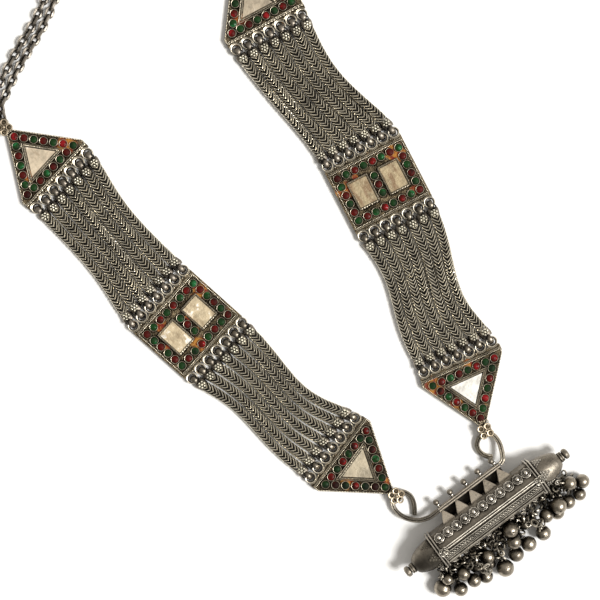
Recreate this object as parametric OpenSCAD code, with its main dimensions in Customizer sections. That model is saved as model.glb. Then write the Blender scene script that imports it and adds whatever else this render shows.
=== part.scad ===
// Long necklace: a six-sided amulet tube with bells, hung from two jewelled straps and a cable chain.
// It lies flat on a surface. X runs along the tube, Y from the bells up to the back chain, Z up.

/* [Amulet tube] */
// Length of the six-sided tube between its end caps
tube_length = 56; // [52:1:58]
// Radius of the tube over its six edges
tube_radius = 8.8; // [8.4:0.1:9]
// Length of one domed end cap with its rings and knob
cap_length = 18.9; // [18.6:0.1:19.2]
// Distance from one rosette to the next
rosette_pitch = 4.96; // [4.9:0.02:5]
// Distance from one crest pyramid to the next
pyramid_pitch = 8; // [7.6:0.1:8.2]
// Thickness of the hook wire
hook_wire = 2.2; // [2:0.1:2.4]

/* [Bells] */
// Thickness of the wire of the jump rings that carry the bells
bell_ring_wire = 0.8; // [0.7:0.05:0.8]

/* [Plaques] */
// Thickness of a plaque's box
plaque_height = 3.2; // [2.8:0.1:3.4]
// Span of the eight stones across a rectangular plaque
rect_span = 32.1; // [31.5:0.1:32.5]
// Span of the six stones along a rectangular plaque
rect_rise = 21.9; // [21.6:0.1:22.4]
// Span of the eight stones along a triangular plaque's base
tri_span = 31.4; // [31:0.1:31.8]
// Height from a triangular plaque's base stones to its tip stone
tri_rise = 23; // [22.6:0.1:23.4]
// Distance of the row of eyes beyond the outer stones
eye_offset = 7.4; // [7.2:0.1:7.6]
// Distance from one eye to the next
eye_pitch = 5.8; // [5.7:0.05:5.9]

/* [Stones and mirrors] */
// Diameter of one glass stone
stone_d = 3.3; // [3:0.1:3.4]
// Outer diameter of a stone's collet
collet_d = 4.1; // [3.9:0.05:4.2]

/* [Chains] */
// Width of one woven chain of a strap
strand_width = 4.2; // [4:0.1:4.3]
// Width of one cable chain of the back
cable_width = 3.8; // [3.4:0.1:4]
// Distance between the two cable chains of the back
cable_spacing = 4.7; // [4.6:0.1:5]

/* [Hidden] */
$fn = 48;

// The middle of the whole necklace seen from above, measured from the middle of the bell side
middle = [12.1, 169.3];
// The gap that keeps neighbouring pieces apart
gap = 0.1;

silver = [0.55, 0.52, 0.46];
old_silver = [0.42, 0.4, 0.36];
ruby = [0.5, 0.05, 0.1];
emerald = [0.03, 0.3, 0.16];
mirror_cream = [0.85, 0.8, 0.7];

// Plaque poses: x and y of the plaque's own origin and its turn in degrees.
// A triangular plaque adds whether its tip stone is green, the place of its tip ring, the ring's own turn,
// how far the ring's flower sits back from it towards the plaque, and the plaque's lean: its points slide
// sideways by the lean times their distance from the eyes.
LEFT_LOWER = [-33.7, 58.8, 16.3, true, [0, -28.6], -9, -1, 0];
RIGHT_LOWER = [34.8, 57.7, -12.5, false, [-2.7, -30.4], -13, 1.2, 0.07];
LEFT_MID = [-55.5, 152.9, 11.3];
RIGHT_MID = [55.2, 151.8, -9.7];
LEFT_UPPER = [-63.5, 249.1, 190.4, false, [0, -28.4], 0, -0.5, 0];
RIGHT_UPPER = [58.2, 246.8, 171.1, false, [0, -28.4], 0, 0.4, 0];

function turned(angle, v) = [v[0] * cos(angle) - v[1] * sin(angle), v[0] * sin(angle) + v[1] * cos(angle)];
function pose_point(pose, p) = [pose[0], pose[1]] + turned(pose[2], p);
function unit(v) = v / norm(v);
function mix(a, b, t) = a * (1 - t) + b * t;

module place() {
  translate([-middle[0], -middle[1], 0]) children();
}
module at_pose(pose) {
  place() translate([pose[0], pose[1], 0]) rotate([0, 0, pose[2]]) children();
}

// A tube swept along a path by rings of flat sides: half widths and half heights go ring by ring
module swept(path, widths, heights, sides) {
  last = len(path) - 1;
  corner = 1 / cos(180 / sides);
  points = [
    for (i = [0 : last])
      let (
        along = unit(path[min(i + 1, last)] - path[max(i - 1, 0)]),
        side = unit(cross(along, [0, 0, 1])),
        up = cross(side, along)
      )
      for (j = [0 : sides - 1])
        let (a = 360 * (j + 0.5) / sides)
        path[i] + side * widths[i] * corner * cos(a) + up * heights[i] * corner * sin(a)
  ];
  walls = [
    for (i = [0 : last - 1], j = [0 : sides - 1])
      let (k = (j + 1) % sides)
      let (a = i * sides + j, b = i * sides + k, c = b + sides, d = a + sides)
      each [[a, b, c], [a, c, d]]
  ];
  polyhedron(points, concat(
    [[for (j = [sides - 1 : -1 : 0]) j]], walls, [[for (j = [0 : sides - 1]) last * sides + j]]
  ));
}

// A smooth curve through hand-set points, with a fixed number of steps to each span
function spline_point(a, b, c, d, t) =
  0.5 * (2 * b + (c - a) * t + (2 * a - 5 * b + 4 * c - d) * t * t + (3 * b - a - 3 * c + d) * t * t * t);
function spline(points, steps) = concat(
  [
    for (i = [0 : len(points) - 2], s = [0 : steps - 1])
      let (last = len(points) - 1)
      spline_point(points[max(i - 1, 0)], points[i], points[i + 1], points[min(i + 2, last)], s / steps)
  ],
  [points[len(points) - 1]]
);

module torus(middle_radius, wire) {
  rotate_extrude() translate([middle_radius, 0]) circle(d = wire);
}
// A flat band bent into a ring: its width runs along Z
module band_ring(inner, outer, width) {
  rotate_extrude() translate([inner, -width / 2]) square([outer - inner, width]);
}

// Amulet: the tube lies on one edge, with its crest to the straps and its loops to the bells
tube_start = -24.5;
tube_end = tube_start + tube_length;
collar_rise = 0.7;
tube_z = tube_radius + collar_rise;
apothem = tube_radius * cos(30);
collar_width = 0.9;
collar_radius = tube_radius + collar_rise;
rosette_first = -21;
rosette_count = 11;
rosette_down = 1.1;
crest_first = -12.5;
crest_count = 5;
crest_base = [7, 9.8];
crest_base_width = 7.3;
crest_base_height = 4.4;
rail = [13.6, 6.2];
rail_wire = 1.5;
rail_ends = [-13.6, 21.6];
stud = [17.2, 5.4];
stud_d = 2.8;
loop_first = -28;
loop_count = 11;
loop_pitch = 6.6;
loop_centre = [-9.1, 8];
loop_middle = 1.2;
loop_wire = 0.8;
ring_start = [-9.4, 8];

module along_tube(x) {
  translate([x, 0, tube_z]) rotate([0, 90, 0]) children();
}
module collar(x) {
  for (step = [0, collar_width + 0.4])
    along_tube(x + step) cylinder(r = collar_radius, h = collar_width, $fn = 6);
}
// One domed end: belly, two rings, neck and flattened knob
module end_cap() {
  h = cap_length;
  rotate_extrude() polygon([
    [0, -0.5], [7, -0.5], [7, 1], [6.95, 2.5], [6.7, 5], [6.25, 7.5], [5.65, 9.5], [4.9, 11.3], [4.1, 12.6],
    [3.3, 13.4], [2.3, 13.8], [2.5, 14.1], [2.5, 14.8], [2.1, 15], [2.4, 15.2], [2.4, 15.7], [1.5, 15.9],
    [1.5, h - 2.9], [2.3, h - 2.5], [2.55, h - 1.9], [2.55, h - 1.1], [2.2, h - 0.5], [1.3, h - 0.1], [0, h]
  ]);
}
module rosette() {
  cylinder(r = 2.4, h = 0.9);
  translate([0, 0, 1]) sphere(d = 2.1);
}
module flower(petal_ring, petal, height) {
  for (a = [45 : 90 : 315]) rotate([0, 0, a]) translate([petal_ring, 0, 0]) cylinder(r = petal, h = height);
  translate([0, 0, height]) sphere(r = petal * 0.6);
}
module pyramid() {
  w = crest_base_width / 2;
  h = crest_base_height / 2;
  apex = [0, rail[0] - 0.3, rail[1]];
  polyhedron(
    [
      [-w, crest_base[0], crest_base[1] - h], [w, crest_base[0], crest_base[1] - h],
      [w, crest_base[0], crest_base[1] + h], [-w, crest_base[0], crest_base[1] + h], apex
    ],
    [[0, 3, 2, 1], [0, 1, 4], [1, 2, 4], [2, 3, 4], [3, 0, 4]]
  );
}
module crest() {
  for (i = [0 : crest_count - 1])
    translate([crest_first + i * pyramid_pitch, 0, 0]) {
      pyramid();
      translate([0, rail[0], rail[1]]) rotate([-90, 0, 0]) cylinder(d = 1, h = stud[0] - rail[0]);
      translate([0, stud[0], stud[1] + 0.4]) sphere(d = stud_d);
    }
  for (side = [-0.55, 0.55])
    translate([rail_ends[0], rail[0] + side, rail[1]]) rotate([0, 90, 0])
      cylinder(d = rail_wire, h = rail_ends[1] - rail_ends[0]);
}
module facet_frame(angle) {
  translate([0, 0, tube_z]) rotate([angle - 90, 0, 0]) translate([0, 0, apothem]) children();
}
module hanging_loop(x) {
  translate([x, loop_centre[0], loop_centre[1]]) rotate([0, 90, 0]) torus(loop_middle, loop_wire);
  translate([x, loop_centre[0] + loop_middle, loop_centre[1]]) rotate([-90, 0, 0]) cylinder(d = 0.9, h = 4);
}

module amulet() {
  color(silver) place() {
    along_tube(tube_start) cylinder(r = tube_radius, h = tube_length, $fn = 6);
    collar(tube_start - 1.5);
    collar(tube_end - 0.7);
    along_tube(tube_end) end_cap();
    along_tube(tube_start) rotate([180, 0, 0]) end_cap();
    for (i = [0 : rosette_count - 1])
      facet_frame(60) translate([rosette_first + i * rosette_pitch, rosette_down, -0.4]) rosette();
    for (side = [-0.4, 0.4])
      translate([tube_start + 0.5, side, tube_z + tube_radius - 0.35]) rotate([0, 90, 0])
        cylinder(d = 0.9, h = tube_length - 1.3);
    facet_frame(120) translate([tube_start + 0.5, -0.5, -0.3]) cube([tube_length - 1.3, 2.4, 0.7]);
    for (x = [tube_start + 1.5, tube_end - 0.2])
      translate([x, -1, tube_z + tube_radius - 1.4]) rotate([25, 0, 0]) flower(1.1, 1.1, 1.2);
    crest();
    for (i = [0 : loop_count - 1]) hanging_loop(loop_first + i * loop_pitch);
  }
}

// Hooks: thick grooved wire from the rail's end, round through the tip ring of a lower plaque
HOOK_LEFT_ROUTE = [
  [-13.8, 13.6, 6.2], [-16.6, 13.5, 6.1], [-19.6, 13.6, 5.9], [-24.4, 15.5, 5.1], [-28.3, 19.7, 3.9],
  [-29.9, 24.8, 2.9], [-28.7, 29.2, 2.4], [-25.6, 31.2, 2.3], [-22.2, 30, 2.2], [-20.3, 26.3, 2],
  [-21.2, 22.1, 1.8], [-24.1, 17.6, 1.5]
];
HOOK_RIGHT_ROUTE = [
  [22.1, 13.6, 6.2], [24.2, 14.4, 6], [25.9, 16.8, 5.2], [27.8, 21.2, 3.8], [27.9, 25.4, 2.8],
  [25.5, 28.6, 2.4], [21.6, 28.4, 2.2], [19, 26.4, 2], [18.1, 23.2, 1.8], [19.4, 19.6, 1.6],
  [21.4, 17.6, 1.5]
];
module hook(route) {
  path = spline(route, 3);
  radii = [for (p = path) hook_wire / 2];
  color(silver) place() swept(path, radii, radii, 8);
}
module hook_left() { hook(HOOK_LEFT_ROUTE); }
module hook_right() { hook(HOOK_RIGHT_ROUTE); }

// Bells: one row for each hanging loop.
// First ring: its radius and its downward tilt. Second ring: its place round the first ring,
// its rise out of that ring's plane and its radius, or a radius of 0 where there is none.
BELL_RINGS = [
  [2.8, 40, 15, 0, 2.8],
  [2.8, 40, 15, -60, 2.4],
  [3.2, -20, 15, 0, 3.6],
  [3.2, 40, -30, -45, 2.4],
  [3.2, 20, -15, 0, 3.6],
  [2.4, 20, -30, -45, 3.6],
  [2.4, 60, -30, 60, 3.6],
  [3.2, -20, 15, -60, 3.6],
  [3.2, 80, 60, 60, 3.6],
  [3.2, 60, 45, 60, 2.4],
  [2.8, 80, 60, 60, 3.6]
];
// Each bell: the number of its hanging loop, which of the loop's rings it hangs on, x, y, z and radius
BELLS = [
  [1, 2, -27.5, -22.5, 4, 3.3], [1, 1, -34, -17, 4.2, 4.1], [1, 1, -29.5, -14, 9, 2.6],
  [2, 1, -22, -16.5, 8, 3.2], [2, 2, -20, -22.5, 6, 3.2],
  [3, 2, -14.5, -25, 3.3, 3.2], [3, 2, -15.5, -18, 3.4, 3.2],
  [4, 1, -8.5, -17, 8, 3.4], [4, 2, -9.4, -21.6, 2.7, 2.6],
  [5, 2, -5, -27, 4.2, 4.1],
  [6, 2, 3, -25, 3.7, 3.6], [6, 1, 7.5, -12.5, 12, 3.5], [6, 1, 5.5, -18.5, 9, 3.4],
  [7, 2, 14.5, -15.5, 4.5, 3.2], [7, 2, 10.5, -24, 6.5, 3.6],
  [8, 2, 19, -24.5, 4.5, 3.5],
  [9, 2, 24.8, -18, 8, 3.3], [9, 2, 30, -21, 3.4, 3.3],
  [10, 2, 32, -17.5, 9.3, 3.7], [10, 2, 37, -20, 3.5, 3.4],
  [11, 2, 42.5, -12.5, 8, 3.2], [11, 2, 48, -16, 5, 3.3], [11, 2, 43.5, -20.5, 3.2, 3]
];
eye_middle = 1;
eye_wire = 0.6;
eye_seat = 0.15;
link_seat = 0.95;

// A ring is its centre, the direction to its far side, a direction across it, and its radius
function ring_wire(ring, angle) = ring[0] + ring[3] * (cos(angle) * ring[1] + sin(angle) * ring[2]);
function first_ring(k) =
  let (
    row = BELL_RINGS[k - 1],
    out = [0, -cos(row[1]), -sin(row[1])],
    near = [loop_first + (k - 1) * loop_pitch, ring_start[0], ring_start[1]]
  )
  [near + row[0] * out, out, [1, 0, 0], row[0]];
function second_ring(k) =
  let (
    row = BELL_RINGS[k - 1],
    ring = first_ring(k),
    out = cos(row[2]) * ring[1] + sin(row[2]) * ring[2],
    up = cross(ring[1], ring[2]),
    away = cos(row[3]) * out + sin(row[3]) * up
  )
  [ring_wire(ring, row[2]) + (row[4] - link_seat) * away, away, unit(cross(away, cross(out, up))), row[4]];

module oriented(origin, x, y) {
  z = cross(x, y);
  rows = [for (i = [0 : 2]) [x[i], y[i], z[i], origin[i]]];
  multmatrix(rows) children();
}
module jump_ring(ring) {
  oriented(ring[0], ring[1], ring[2]) torus(ring[3], bell_ring_wire);
}
// A bell hangs by its eye from the nearest stretch of its ring's wire
module bell(centre, radius, ring) {
  d = centre - ring[0];
  angle = atan2(d * ring[2], d * ring[1]);
  wire = ring_wire(ring, angle);
  to_bell = unit(centre - wire);
  across = unit(cross(to_bell, cos(angle) * ring[2] - sin(angle) * ring[1]));
  eye = wire + to_bell * eye_seat;
  stem = norm(centre - eye) - eye_middle;
  translate(centre) sphere(r = radius);
  oriented(eye, to_bell, across) torus(eye_middle, eye_wire);
  oriented(centre, across, cross(to_bell, across)) mirror([0, 0, 1]) {
    cylinder(d = 0.8, h = stem);
    cylinder(r = radius * 0.36, h = radius + 0.1);
  }
}
module bell_cluster(k) {
  color(old_silver) place() {
    jump_ring(first_ring(k));
    if (BELL_RINGS[k - 1][4] > 0) jump_ring(second_ring(k));
    for (row = BELLS)
      if (row[0] == k) bell([row[2], row[3], row[4]], row[5], row[1] == 1 ? first_ring(k) : second_ring(k));
  }
}

// Stones, in a plaque's own frame. A rectangular plaque's origin is its middle.
// A triangular plaque's origin is the middle of its base stones, and its tip lies to -Y.
function rect_stones(red) = concat(
  [
    for (i = [0 : 7], j = [0 : 5])
      if ((i == 0 || i == 7 || j == 0 || j == 5) && ((i + j) % 2 == 0) == red)
        [(i - 3.5) * rect_span / 7, (2.5 - j) * rect_rise / 5]
  ],
  [for (j = [-1 : 1]) if ((j == 0) == red) [0, j * rect_rise / 5]]
);
function tri_side(side, step) = [side * tri_span / 2 * (1 - step / 6), -tri_rise * step / 6];
function tri_stones(red, green_tip) = concat(
  [for (i = [0 : 7]) if ((i % 2 == 1) == red) [(i - 3.5) * tri_span / 7, 0]],
  [for (step = [1 : 5]) if ((step % 2 == 0) == red) tri_side(1, step)],
  [for (step = [1 : 5]) if ((step % 2 == 1) == red) tri_side(-1, step)],
  green_tip == red ? [] : [[0, -tri_rise]]
);

function leaned(pose, points) = [for (p = points) [p[0] + pose[7] * (p[1] - eye_offset), p[1]]];

stone_r = stone_d / 2;
seat_depth = 0.9;
collet_rise = 0.7;
collet_top = plaque_height + collet_rise;
module stone() {
  translate([0, 0, collet_top - seat_depth + gap]) rotate_extrude() polygon([
    [0, 0], [stone_r, 0], [stone_r, 0.8], [stone_r * 0.86, 1.1], [stone_r * 0.6, 1.35], [0, 1.5]
  ]);
}
module stones(pose, points) {
  at_pose(pose) for (p = points) translate([p[0], p[1], 0]) stone();
}
module tri_set(pose, red) {
  color(red ? ruby : emerald) stones(pose, leaned(pose, tri_stones(red, pose[3])));
}
module rect_set(pose, red) {
  color(red ? ruby : emerald) stones(pose, rect_stones(red));
}

// Mirrors: the margin is measured from the lines through the stones' middles
mirror_margin = 3.9;
frame_margin = 2.7;
mirror_depth = 0.9;
mirror_thickness = 0.7;
rect_mirror = [9, 12.5];
rect_mirror_x = 8;
frame_width = 1;
function tri_inset(margin) =
  let (slope = norm([tri_span / 2, tri_rise]) / tri_rise, half = tri_span / 2)
  [
    [-half * (1 - margin / tri_rise) + margin * slope, -margin],
    [half * (1 - margin / tri_rise) - margin * slope, -margin],
    [0, -tri_rise * (1 - margin * slope / half)]
  ];
module mirror_tri(pose) {
  color(mirror_cream) at_pose(pose) translate([0, 0, collet_top - mirror_depth + gap])
    linear_extrude(mirror_thickness) polygon(leaned(pose, tri_inset(mirror_margin + 1.5 * gap)));
}
module mirror_pair(pose) {
  color(mirror_cream) at_pose(pose) for (side = [-1, 1])
    translate([side * rect_mirror_x, 0, collet_top - mirror_depth + gap])
      linear_extrude(mirror_thickness) square(rect_mirror - [2 * gap, 2 * gap], center = true);
}

// Eyes: seven rings soldered along a plaque's edge, each holding the end loop of one woven chain
eye_inner = 1.8;
eye_outer = 2.6;
eye_z = 2.3;
eye_height = 1.4;
strip_height = 1.8;
function eye_points(y) = [for (i = [-3 : 3]) [i * eye_pitch, y]];
module eye_rings(y) {
  for (p = eye_points(y))
    translate([p[0], p[1], eye_z - eye_height / 2]) cylinder(r = eye_outer, h = eye_height);
}
module eye_holes(y) {
  for (p = eye_points(y)) translate([p[0], p[1], 0]) cylinder(r = eye_inner, h = plaque_height);
}
module collets(points) {
  for (p = points)
    translate([p[0], p[1], plaque_height - 0.5]) cylinder(d = collet_d, h = collet_rise + 0.5);
}
module seats(points) {
  for (p = points) translate([p[0], p[1], collet_top - seat_depth]) cylinder(d = stone_d + 2 * gap, h = 2);
}

// Triangular plaque
tri_margin = 3.2;
tip_cut = tri_rise + 3.5;
base_half = 20.3;
corner_cut = 0.9;
ring_inner = 1.65;
ring_outer = 2.25;
ring_width = 1.6;
tri_slope = norm([tri_span / 2, tri_rise]) / tri_rise;
function tri_edge(y) = tri_span / 2 * (1 + y / tri_rise) + tri_margin * tri_slope;
// The ring at the tip: a neck joins it to the plaque, and a flower covers it
module tip_ring(middle_point, turn, back, root) {
  up = unit(-middle_point);
  near = middle_point + up * (ring_inner + 0.3);
  translate([0, 0, eye_z - 0.8]) linear_extrude(1.6) polygon([
    [near[0] - 1.1, near[1]], [near[0] + 1.1, near[1]], [root[0] + 1.1, root[1]], [root[0] - 1.1, root[1]]
  ]);
  translate([middle_point[0], middle_point[1], eye_z]) rotate([0, 0, turn]) rotate([0, 90, 0])
    band_ring(ring_inner, ring_outer, ring_width);
  at = middle_point + up * back;
  translate([at[0], at[1], eye_z + ring_outer - 0.25]) flower(1.75, 1.4, 0.9);
}
module plaque_tri(pose) {
  points = leaned(pose, concat(tri_stones(true, pose[3]), tri_stones(false, pose[3])));
  color(silver) at_pose(pose) {
    difference() {
      union() {
        linear_extrude(plaque_height) polygon(leaned(pose, [
          [-base_half, tri_margin], [-base_half, corner_cut], [-tri_edge(-tip_cut), -tip_cut],
          [tri_edge(-tip_cut), -tip_cut], [base_half, corner_cut], [base_half, tri_margin]
        ]));
        translate([0, 0, eye_z - strip_height / 2]) linear_extrude(strip_height)
          translate([-base_half, 2]) square([2 * base_half, eye_offset - eye_outer + 0.4 - 2]);
        eye_rings(eye_offset);
        collets(points);
        translate([0, 0, plaque_height - 0.3]) linear_extrude(collet_rise + 0.1)
          polygon(leaned(pose, tri_inset(frame_margin)));
      }
      seats(points);
      eye_holes(eye_offset);
      translate([0, 0, collet_top - mirror_depth]) linear_extrude(2)
        polygon(leaned(pose, tri_inset(mirror_margin)));
    }
    tip_ring(pose[4], pose[5], pose[6], leaned(pose, [[0, -tri_rise - 2]])[0]);
  }
}

// Rectangular plaque
rect_margin = 3.1;
module plaque_rect(pose) {
  points = concat(rect_stones(true), rect_stones(false));
  half = [rect_span / 2 + rect_margin, rect_rise / 2 + rect_margin];
  row = rect_rise / 2 + eye_offset;
  color(silver) at_pose(pose) difference() {
    union() {
      linear_extrude(plaque_height) square(2 * half, center = true);
      translate([0, 0, eye_z - strip_height / 2]) linear_extrude(strip_height)
        square([2 * half[0] + 1.4, 2 * (row - eye_outer + 0.4)], center = true);
      for (side = [-1, 1]) eye_rings(side * row);
      collets(points);
      for (side = [-1, 1])
        translate([side * rect_mirror_x, 0, plaque_height - 0.3]) linear_extrude(collet_rise + 0.1)
          square(rect_mirror + [2 * frame_width, 2 * frame_width], center = true);
    }
    seats(points);
    for (side = [-1, 1]) {
      eye_holes(side * row);
      translate([side * rect_mirror_x, 0, collet_top - mirror_depth]) linear_extrude(2)
        square(rect_mirror, center = true);
    }
  }
}

// Straps: seven woven chains between two rows of eyes. A strap is the middle and the turn of its upper row,
// the same of its lower row, its sideways bow and skew in mm with + to the right, and its narrowing.
tri_row = [0, eye_offset];
rect_row = [0, rect_rise / 2 + eye_offset];
STRAP_LOWER_LEFT = [
  pose_point(LEFT_MID, -rect_row), LEFT_MID[2],
  pose_point(LEFT_LOWER, tri_row), LEFT_LOWER[2], -1.2, -4.8, 0.2
];
STRAP_LOWER_RIGHT = [
  pose_point(RIGHT_MID, -rect_row), RIGHT_MID[2],
  pose_point(RIGHT_LOWER, tri_row), RIGHT_LOWER[2], -1.6, -5.6, 0.17
];
STRAP_UPPER_LEFT = [
  pose_point(LEFT_UPPER, tri_row), LEFT_UPPER[2] - 180,
  pose_point(LEFT_MID, rect_row), LEFT_MID[2], -0.2, 2, 0.16
];
STRAP_UPPER_RIGHT = [
  pose_point(RIGHT_UPPER, tri_row), RIGHT_UPPER[2] - 180,
  pose_point(RIGHT_MID, rect_row), RIGHT_MID[2], -2.3, 0, 0.14
];
strap_lean = 0.6;
// A point at share s of the way along the chain that starts at place t of the upper row
function strap_point(strap, t, s) =
  let (
    chord = strap[2] - strap[0],
    reach = norm(chord),
    from = mix(unit(chord), turned(strap[1], [0, -1]), strap_lean) * reach,
    to = mix(unit(chord), turned(strap[3], [0, -1]), strap_lean) * reach,
    centre = (2 * s * s * s - 3 * s * s + 1) * strap[0] + (s * s * s - 2 * s * s + s) * from
      + (3 * s * s - 2 * s * s * s) * strap[2] + (s * s * s - s * s) * to,
    row = turned(mix(strap[1], strap[3], s), [1, 0]),
    hump = 16 * s * s * (1 - s) * (1 - s),
    bow = hump * (strap[4] + strap[5] * (2 * s - 1))
  )
  centre + row * (t * (1 - strap[6] * (hump + 4 * s * (1 - s)) / 2) + bow);

loop_inner = 1.35;
loop_outer = 2.15;
loop_width = 1.6;
loop_seat = 2.2;
// Sections of a chain from its end: distance from the eye's middle, half width and half height
STRAND_ENDS = [[3.75, 0.95, 0.95], [5.4, 1.8, 1.5], [11.6, 2.05, 1.7]];
strand_height = 3.8;
module strand(strap, t) {
  start = strap_point(strap, t, 0);
  end = strap_point(strap, t, 1);
  reach = norm(end - start);
  shares = concat(
    [for (row = STRAND_ENDS) row[0] / reach],
    [0.3, 0.43, 0.57, 0.7],
    [for (i = [2 : -1 : 0]) 1 - STRAND_ENDS[i][0] / reach]
  );
  plain = [for (i = [0 : 3]) 0.5];
  widths = concat(
    [for (row = STRAND_ENDS) row[1]], plain * strand_width, [for (i = [2 : -1 : 0]) STRAND_ENDS[i][1]]
  );
  heights = concat(
    [for (row = STRAND_ENDS) row[2]], plain * strand_height, [for (i = [2 : -1 : 0]) STRAND_ENDS[i][2]]
  );
  path = [for (s = shares) let (p = strap_point(strap, t, s)) [p[0], p[1], eye_z]];
  swept(path, widths, heights, 8);
  strand_loop(start, strap_point(strap, t, 0.05));
  strand_loop(end, strap_point(strap, t, 0.95));
}
module strand_loop(eye, inward) {
  out = unit(inward - eye);
  translate([eye[0] + loop_seat * out[0], eye[1] + loop_seat * out[1], eye_z])
    rotate([0, 0, atan2(out[1], out[0])]) rotate([90, 0, 0]) band_ring(loop_inner, loop_outer, loop_width);
}
module strap(strap) {
  color(old_silver) place() for (i = [-3 : 3]) strand(strap, i * eye_pitch);
}

// End rings: plain rings through the upper plaques' tip rings, which carry both cable chains
end_ring_radius = 3;
end_ring_wire = 1.2;
function end_ring_middle(pose) = pose[4] - [0, end_ring_radius - 0.4];
module end_ring(pose) {
  p = end_ring_middle(pose);
  color(silver) at_pose(pose) translate([p[0], p[1], eye_z]) torus(end_ring_radius, end_ring_wire);
}

// Back chains: both follow one middle route round the neck, half their spacing to each side of it
BACK_ROUTE = [
  [-66, 289], [-57, 294], [-49, 298], [-40, 302], [-30, 306], [-21, 310.5], [-12, 316], [0, 324], [14, 334],
  [30, 346], [48, 357], [66, 364], [82, 365], [95, 357], [102, 343], [103, 326], [98, 310], [89, 296],
  [78, 286]
];
cable_z = 2;
link_inner = 1.25;
link_outer = 2.15;
link_width = 0.9;
link_turn = 30;
function route_point(route, i, shift) =
  let (
    last = len(route) - 1,
    along = unit(route[min(i + 1, last)] - route[max(i - 1, 0)])
  )
  [route[i][0] - along[1] * shift, route[i][1] + along[0] * shift, cable_z];
// The end link hangs on the end ring at one side of the way out, and the tube starts behind it
function end_link(pose, towards, side) =
  let (
    ring = pose_point(pose, end_ring_middle(pose)),
    out = unit(towards - ring),
    left = [-out[1], out[0]],
    wire = end_ring_radius * (out * cos(link_turn) + left * side * sin(link_turn))
  )
  [ring + wire - out * 0.15, out];
module cable(side) {
  first = end_link(LEFT_UPPER, BACK_ROUTE[0], side);
  final = end_link(RIGHT_UPPER, BACK_ROUTE[len(BACK_ROUTE) - 1], -side);
  smooth = spline(BACK_ROUTE, 2);
  middle_points = [for (i = [0 : len(smooth) - 1]) route_point(smooth, i, side * cable_spacing / 2)];
  start = first[0] + first[1] * (link_inner + 0.3);
  finish = final[0] + final[1] * (link_inner + 0.3);
  path = concat([[start[0], start[1], eye_z]], middle_points, [[finish[0], finish[1], eye_z]]);
  radii = [for (i = [0 : len(path) - 1]) i == 0 || i == len(path) - 1 ? 0.7 : cable_width / 2];
  color(old_silver) place() {
    swept(path, radii, radii, 8);
    for (link = [first, final])
      translate([link[0][0], link[0][1], eye_z]) rotate([0, 0, atan2(link[1][1], link[1][0])])
        rotate([90, 0, 0]) band_ring(link_inner, link_outer, link_width);
  }
}

amulet();
hook_left();
hook_right();
bell_cluster(1);  // bells_01
bell_cluster(2);  // bells_02
bell_cluster(3);  // bells_03
bell_cluster(4);  // bells_04
bell_cluster(5);  // bells_05
bell_cluster(6);  // bells_06
bell_cluster(7);  // bells_07
bell_cluster(8);  // bells_08
bell_cluster(9);  // bells_09
bell_cluster(10);  // bells_10
bell_cluster(11);  // bells_11
plaque_tri(LEFT_LOWER);  // plaque_lower_left
plaque_tri(RIGHT_LOWER);  // plaque_lower_right
plaque_rect(LEFT_MID);  // plaque_mid_left
plaque_rect(RIGHT_MID);  // plaque_mid_right
plaque_tri(LEFT_UPPER);  // plaque_upper_left
plaque_tri(RIGHT_UPPER);  // plaque_upper_right
tri_set(LEFT_LOWER, true);  // red_stones_lower_left
tri_set(RIGHT_LOWER, true);  // red_stones_lower_right
rect_set(LEFT_MID, true);  // red_stones_mid_left
rect_set(RIGHT_MID, true);  // red_stones_mid_right
tri_set(LEFT_UPPER, true);  // red_stones_upper_left
tri_set(RIGHT_UPPER, true);  // red_stones_upper_right
tri_set(LEFT_LOWER, false);  // green_stones_lower_left
tri_set(RIGHT_LOWER, false);  // green_stones_lower_right
rect_set(LEFT_MID, false);  // green_stones_mid_left
rect_set(RIGHT_MID, false);  // green_stones_mid_right
tri_set(LEFT_UPPER, false);  // green_stones_upper_left
tri_set(RIGHT_UPPER, false);  // green_stones_upper_right
mirror_tri(LEFT_LOWER);  // mirror_lower_left
mirror_tri(RIGHT_LOWER);  // mirror_lower_right
mirror_pair(LEFT_MID);  // mirrors_mid_left
mirror_pair(RIGHT_MID);  // mirrors_mid_right
mirror_tri(LEFT_UPPER);  // mirror_upper_left
mirror_tri(RIGHT_UPPER);  // mirror_upper_right
strap(STRAP_LOWER_LEFT);  // strap_lower_left
strap(STRAP_LOWER_RIGHT);  // strap_lower_right
strap(STRAP_UPPER_LEFT);  // strap_upper_left
strap(STRAP_UPPER_RIGHT);  // strap_upper_right
end_ring(LEFT_UPPER);  // end_ring_left
end_ring(RIGHT_UPPER);  // end_ring_right
cable(-1);  // back_chain_inner
cable(1);  // back_chain_outer
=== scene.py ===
"""The looks of a long silver necklace: amulet tube, bells, jewelled plaques, woven straps, cable chains."""
import collections
import math

import bpy
import numpy as np
from mathutils import Matrix, Vector


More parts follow.
